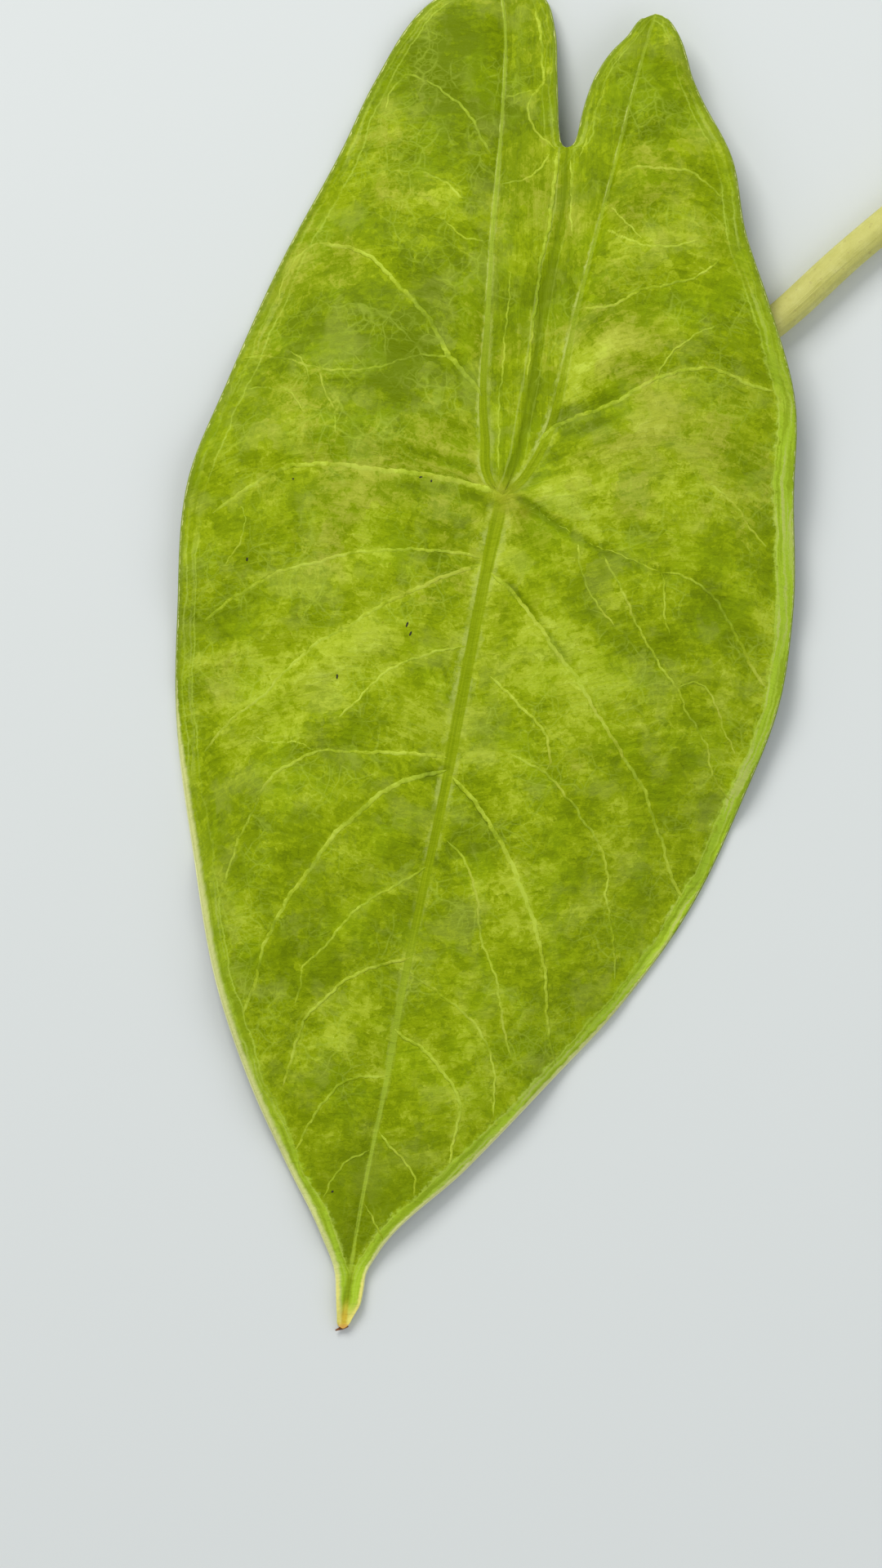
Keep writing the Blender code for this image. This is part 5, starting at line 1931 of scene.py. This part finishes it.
@dataclass
class Veins:
    """The raised veins of the upper face."""

    surface: SurfaceMap
    relief: Relief
    step: float = 0.60
    sides: int = 12
    wander: float = 0.10
    least_width: float = 0.05
    spread: float = 2.15
    flatness: float = 0.20
    least_rise: float = 0.02
    sink: float = 0.01
    unevenness: float = 0.16
    end_length: float = 1.4
    least_end: float = 0.12
    shade_share: float = 0.5
    seed: int = 11

    def strand(self, vein: Vein, draw: np.random.Generator) -> Strand:
        """Return one vein on the surface.

        Its path is the smooth curve through the vein's points, moved sideways by a few
        waves of a random phase. Its half width runs from its start to its end and closes
        at both ends.

        Args:
            vein: The vein.
            draw: The source of the phases.

        Returns:
            The strand.
        """
        rough = smooth_curve(vein.points, 200)
        length = np.linalg.norm(np.diff(rough, axis=0), axis=1).sum()
        count = max(8, math.ceil(length / self.step))
        path = smooth_curve(vein.points, count)
        share = np.linspace(0.0, 1.0, count)
        ahead = np.gradient(path, axis=0)
        square = np.stack([-ahead[:, 1], ahead[:, 0]], axis=-1)
        square /= np.linalg.norm(square, axis=1)[:, None]
        phases = draw.uniform(0.0, 2 * np.pi, 3)
        sway = sum(np.sin(rate * share * length + phase) for rate, phase in zip((0.55, 1.3, 2.9), phases))
        held = np.clip(np.minimum(share, 1.0 - share) * 8.0, 0.0, 1.0)
        path = path + (self.wander * sway * held)[:, None] * square
        width = vein.width[0] + (vein.width[1] - vein.width[0]) * share
        width = self.least_width + self.spread * width
        width = width * (1.0 + self.unevenness * np.sin(3.7 * share * length + phases[0]))
        ends = np.clip(np.minimum(share, 1.0 - share) * length / self.end_length, self.least_end, 1.0)
        rise = self.least_rise + self.flatness * width
        return Strand(self.surface.on_top(path, -self.sink), width * ends * MM, rise * ends * MM)

    def dress(self, piece: bpy.types.Object, points: Array, finish: bpy.types.Material) -> None:
        """Store what the vein's material reads, and put it on.

        Args:
            piece: The mesh object.
            points: Its points, in metres.
            finish: The vein's material.
        """
        plan = points[:, :2] / MM - RIB_MEETING
        add_values(piece, "cloud", placed_clouds(plan))
        # painted shade of the hollows, at half strength on the veins that cross them
        add_values(piece, "shade", self.shade_share * self.relief.shade.read(plan))
        crest = np.clip(np.sin(2 * np.pi * np.arange(self.sides) / self.sides), 0.0, 1.0)
        add_values(piece, "crest", np.tile(crest, len(points) // self.sides))
        add_values(piece, "tan", np.zeros(len(points)))
        piece.data.materials.append(finish)
        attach(piece, ROOT)

    def build(self) -> None:
        """Build, dress and place the veins of each part of the blade."""
        draw = np.random.default_rng(self.seed)
        groups = {"left_veins": LEFT_VEINS, "right_veins": RIGHT_VEINS, "lobe_veins": WEDGE_VEINS}
        finish = BladeFinish().vein_skin()
        for name, veins in groups.items():
            points, faces = ring_tubes([self.strand(vein, draw) for vein in veins], self.sides)
            piece = make_piece(name, points, faces)
            self.dress(piece, points, finish)
            LOG.info("%s: %d veins, %d faces", name, len(veins), len(faces))


@dataclass
class MarginRim:
    """The thin bead round the blade's free edge."""

    halves: dict[Side, HalfBlade]
    radius: float = 0.20
    rise: float = 0.40
    sides: int = 10
    steps: int = 900
    tip_level: float = -147.4
    top_gap: float = 1.0
    notch_gap: float = 0.05
    end_points: float = 25.0
    least_end: float = 0.35

    def edge_points(self, half: HalfBlade) -> Array:
        """Return the middle of the free edge from the drip tip round the lobe to the notch.

        Args:
            half: The half of the blade.

        Returns:
            The points, in metres.
        """
        low = np.linspace(self.tip_level, half.top - self.top_gap, self.steps)
        inverse = np.interp(low, half.rib_table[:, 1], half.rib_table[:, 0])
        outer = half.half(inverse, np.ones_like(low))
        down = np.linspace(half.top - self.top_gap, half.notch + self.notch_gap, self.steps // 3)
        inner = half.wedge(down, np.ones_like(down))
        points = []
        for point in (outer, inner):
            middle = np.maximum(point.height, point.thick) - point.thick / 2
            points.append(np.concatenate([point.plan + RIB_MEETING, middle[..., None]], axis=-1) * MM)
        return np.concatenate(points)

    def build(self) -> None:
        """Build, dress and place the rim."""
        strands = []
        for half in self.halves.values():
            path = self.edge_points(half)
            steps = np.linalg.norm(np.diff(path, axis=0), axis=1)
            along = np.concatenate(([0.0], np.cumsum(steps)))
            even = np.linspace(0.0, along[-1], self.steps)
            smooth = np.stack([np.interp(even, along, path[:, i]) for i in range(3)], axis=-1)
            place = np.arange(self.steps)
            ends = np.clip(np.minimum(place, place[::-1]) / self.end_points, self.least_end, 1.0)
            strands.append(Strand(smooth, self.radius * MM * ends, self.rise * MM * ends))
        points, faces = ring_tubes(strands, self.sides)
        piece = make_piece("margin_rim", points, faces)
        plan = points[:, :2] / MM - RIB_MEETING
        # low: where the bead shows the painted rim light
        add_values(piece, "low", rim_light_share(plan))
        piece.data.materials.append(RimFinish().build())
        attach(piece, ROOT)
        LOG.info("margin_rim: %d faces", len(faces))


@dataclass
class DripTip:
    """The dried brown hook at the very end of the drip tip."""

    start: tuple[float, float] = (-28.3, -147.3)
    length: float = 2.1
    radius: float = 0.42
    droop: float = 0.95
    base_height: float = 0.55
    end_rise: float = 0.35
    taper: float = 0.72

    def build(self) -> None:
        """Build, dress and place the hook."""
        q = np.linspace(0.0, 1.0, 16)
        x = self.start[0] - self.length * q
        y = self.start[1] - self.droop * q**0.8
        z = self.base_height + self.end_rise * q**2
        path = np.stack([x + RIB_MEETING[0], y + RIB_MEETING[1], z], axis=-1) * MM
        size = self.radius * MM * (1.0 - self.taper * q**1.5)
        points, faces = ring_tubes([Strand(path, size, size)], 12)
        piece = make_piece("drip_tip_hook", points, faces)
        piece.data.materials.append(DryFinish("dried_tip", (150, 86, 30), (84, 44, 16)).build())
        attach(piece, ROOT)
        LOG.info("drip_tip_hook: %d faces", len(faces))


@dataclass
class Scars:
    """Small dark scars that lie in the upper face."""

    surface: SurfaceMap
    half_width: float = 0.17
    rise: float = 0.09

    def build(self) -> None:
        """Build, dress and place the scars."""
        share = np.linspace(-0.5, 0.5, 9)
        taper = np.clip((0.5 - np.abs(share)) * 5.0, 0.25, 1.0) * MM
        strands = []
        for x, y, length, turn in SCARS:
            angle = math.radians(turn)
            reach = length * share
            plan = np.stack([x + reach * math.cos(angle), y + reach * math.sin(angle)], axis=-1)
            strands.append(Strand(self.surface.on_top(plan), self.half_width * taper, self.rise * taper))
        points, faces = ring_tubes(strands, 8)
        piece = make_piece("scars", points, faces)
        piece.data.materials.append(DryFinish("scar_skin", (54, 50, 16), (28, 30, 10)).build())
        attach(piece, ROOT)
        LOG.info("scars: %d", len(SCARS))


@dataclass
class Stalk:
    """The stalk: a long tube that leaves the rib meeting, bends down and lies on the surface."""

    route: tuple[tuple[float, float], ...] = (
        (0.0, 0.0), (24.0, 15.6), (47.9, 31.3), (60.3, 42.5), (85.0, 63.0), (104.0, 80.5),
        (121.0, 98.0), (134.0, 116.0),
    )
    drop: tuple[tuple[float, float], ...] = (
        (0.0, 10.6), (0.4, 9.1), (1.6, 7.6), (4.0, 6.1), (8.0, 5.0), (17.0, 3.7), (34.0, 2.8),
    )
    radius: tuple[tuple[float, float], ...] = (
        (0.0, 3.3), (6.0, 3.0), (18.0, 2.9), (110.0, 2.95), (176.0, 3.3),
    )
    flat_depth: float = 0.12
    rows: int = 330
    sides: int = 56
    gather: float = 1.35
    green: float = 0.75
    green_length: float = 9.0
    cut_rings: int = 14
    cut_share: float = 0.985
    cut_depth: float = 0.5

    def build(self) -> None:
        """Build, dress and place the stalk and its cut end.

        Each ring is a circle square to the centre line, with faint lengthwise flutes, and
        its lowest points are held at the surface.
        """
        plan = smooth_curve(list(self.route))
        along = np.concatenate(([0.0], np.cumsum(np.linalg.norm(np.diff(plan, axis=0), axis=1))))
        share = np.linspace(0.0, 1.0, self.rows)
        at = along[-1] * share**self.gather
        size = np.interp(at, *smooth_curve(list(self.radius)).T)
        drop_line = smooth_curve(list(self.drop))
        fall = np.interp(np.minimum(at, self.drop[-1][0]), *drop_line.T)
        height = np.maximum(fall, size - self.flat_depth)
        line = np.stack([
            np.interp(at, along, plan[:, 0]) + RIB_MEETING[0],
            np.interp(at, along, plan[:, 1]) + RIB_MEETING[1],
            height,
        ], axis=-1)
        ahead = np.gradient(line, axis=0)
        ahead /= np.linalg.norm(ahead, axis=1)[:, None]
        level = np.stack([-ahead[:, 1], ahead[:, 0], 0.0 * at], axis=-1)
        level /= np.linalg.norm(level, axis=1)[:, None]
        lift = np.cross(ahead, level)
        turn = 2 * np.pi * np.arange(self.sides) / self.sides
        flutes = 1.0 + 0.008 * np.sin(9 * turn)[None, :] + 0.006 * np.sin(14 * turn + 1.0)[None, :]
        wave = 1.0 + 0.012 * np.sin(0.11 * at + 1.0)[:, None] + 0.008 * np.sin(0.31 * at)[:, None]
        ring = size[:, None] * flutes * wave
        points = (
            line[:, None, :]
            + (np.cos(turn)[None, :] * ring)[..., None] * level[:, None, :]
            + (np.sin(turn)[None, :] * ring)[..., None] * lift[:, None, :]
        )
        points[..., 2] = np.maximum(points[..., 2], 0.0)
        faces = tube_faces(self.rows, self.sides)
        piece = make_piece("stalk_skin", points.reshape(-1, 3) * MM, faces)
        around = np.broadcast_to(turn[None, :] * 3.0, (self.rows, self.sides))
        long_way = np.broadcast_to(at[:, None], around.shape)
        wrap = np.stack([3.0 * np.cos(around / 3.0), long_way, 3.0 * np.sin(around / 3.0)], axis=-1)
        add_values(piece, "grain", wrap.reshape(-1, 3))
        add_values(piece, "low", (self.green * hill(long_way, self.green_length)).ravel())
        piece.data.materials.append(StalkFinish().build())
        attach(piece, ROOT)
        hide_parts(STALK_NODE)
        LOG.info("stalk_skin: %d faces", len(faces))
        self.build_cut(line[-1], ahead[-1], level[-1], lift[-1], ring[-1])

    def build_cut(self, centre: Array, out: Array, level: Array, lift: Array,
                  ring: Array) -> None:
        """Build the cut face: a disc that dishes in, a little inside the stalk's end.

        Args:
            centre: Middle of the cut.
            out: Direction out of the stalk.
            level: Level direction across the stalk.
            lift: Direction square to both.
            ring: Radius at each corner.
        """
        share = np.linspace(0.0, 1.0, self.cut_rings)[:, None]
        turn = 2 * np.pi * np.arange(self.sides) / self.sides
        radius = share * ring[None, :] * self.cut_share
        bulge = 0.10 + 0.16 * (1.0 - share**2) - 0.22 * hill(share - 0.86, 0.1)
        top = (
            centre
            + (np.cos(turn)[None, :] * radius)[..., None] * level
            + (np.sin(turn)[None, :] * radius)[..., None] * lift
            + (bulge + 0.0 * radius)[..., None] * out
        )
        top[..., 2] = np.maximum(top[..., 2], 0.0)
        points = [top[0, :1]] + [top[i] for i in range(1, self.cut_rings)]
        flat = np.concatenate(points)
        back = flat - self.cut_depth * out
        faces: list = [[0, 1 + i, 1 + (i + 1) % self.sides] for i in range(self.sides)]
        for i in range(self.cut_rings - 2):
            base = 1 + i * self.sides
            for j in range(self.sides):
                k = (j + 1) % self.sides
                faces.append([base + j, base + self.sides + j, base + self.sides + k, base + k])
        total = len(flat)
        lower = [[c + total for c in face[::-1]] for face in faces]
        walls = rim_faces(faces, total)
        piece = make_piece("stalk_cut_face", np.concatenate([flat, back]) * MM, faces + lower + walls)
        across = np.concatenate([[0.0], np.repeat(share[1:, 0], self.sides)])
        add_values(piece, "across", np.concatenate([across, across]))
        piece.data.materials.append(CutFinish().build())
        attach(piece, ROOT)
        LOG.info("stalk_cut_face: %d faces", len(piece.data.polygons))


@dataclass
class Studio:
    """The pale floor, the soft lights and the camera that looks straight down on the leaf."""

    pixel: float = 0.145
    image_width: int = 1080
    image_height: int = 1920
    meeting_pixel: tuple[float, float] = (620.0, 608.0)
    distance: float = 2.4
    sensor_height: float = 36.0
    focus_height: float = 0.006
    floor_size: float = 6.0
    floor_level: float = -2e-5
    floor_colour: Colour = (222, 226, 224)

    def build(self) -> None:
        """Build the floor, the lights and the camera."""
        self.build_floor()
        self.build_lights()
        self.build_camera()

    def build_floor(self) -> None:
        """Lay a wide pale plane just under the leaf."""
        signs = ((-1, -1), (1, -1), (1, 1), (-1, 1))
        corners = np.array([(self.floor_size * x, self.floor_size * y, self.floor_level) for x, y in signs])
        floor = make_piece("floor", corners, [[0, 1, 2, 3]])
        sheet = NodeSheet("floor_paper")
        place = sheet.object_mm()
        tone = sheet.noise(place, 0.02, 3.0)
        colour = sheet.mix(sheet.times(tone, 0.06), self.floor_colour, (236, 238, 236))
        sheet.set(Base_Color=colour, Roughness=0.9)
        sheet.shader.inputs["Specular IOR Level"].default_value = 0.1
        floor.data.materials.append(sheet.material)

    def build_lights(self) -> None:
        """Place one broad key from the top left, a fill from the right and an even sky."""
        lamps = (
            ("key", (-0.50, 0.95, 1.00), 0.7, 14.0, (1.0, 0.99, 0.97)),
            ("fill", (0.9, -0.2, 1.0), 1.2, 3.2, (0.97, 0.99, 1.0)),
        )
        target = np.array([-0.03, -0.02, 0.0])
        for name, place, size, power, colour in lamps:
            light = bpy.data.lights.new(name, "AREA")
            light.shape = "SQUARE"
            light.size = size
            light.energy = power
            light.color = colour
            lamp = bpy.data.objects.new(name, light)
            lamp.location = place
            aim = target - np.array(place)
            lamp.rotation_euler = (
                math.atan2(math.hypot(aim[0], aim[1]), -aim[2]),
                0.0,
                math.atan2(aim[0], -aim[1]) + math.pi,
            )
            bpy.context.scene.collection.objects.link(lamp)
        world = bpy.data.worlds.new("soft_sky")
        world.use_nodes = True
        background = world.node_tree.nodes["Background"]
        background.inputs["Color"].default_value = (0.93, 0.96, 1.0, 1.0)
        background.inputs["Strength"].default_value = 0.49
        bpy.context.scene.world = world
        bpy.context.scene.view_settings.view_transform = "Standard"

    def build_camera(self) -> None:
        """Hang the camera over the middle of the picture, with its top towards the lobes."""
        middle_x = (self.image_width / 2 - self.meeting_pixel[0]) * self.pixel + RIB_MEETING[0]
        middle_y = (self.meeting_pixel[1] - self.image_height / 2) * self.pixel + RIB_MEETING[1]
        data = bpy.data.cameras.new("camera")
        data.sensor_fit = "VERTICAL"
        data.sensor_height = self.sensor_height
        data.lens = self.sensor_height * self.distance / (self.image_height * self.pixel * MM)
        data.clip_end = 20.0
        camera = bpy.data.objects.new("camera", data)
        camera.location = (middle_x * MM, middle_y * MM, self.distance + self.focus_height)
        bpy.context.scene.collection.objects.link(camera)
        bpy.context.scene.camera = camera


def main() -> None:
    """Build every piece in order; each piece logs how many faces or triangles it has."""
    logging.basicConfig(level=logging.INFO, format="%(name)s: %(message)s")
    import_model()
    relief = Relief()
    halves = make_halves(relief)
    Blade(halves, relief).build()
    surface = SurfaceMap(halves)
    Veins(surface, relief).build()
    MarginRim(halves).build()
    DripTip().build()
    Scars(surface).build()
    Stalk().build()
    Studio().build()


if __name__ == "__main__":
    main()
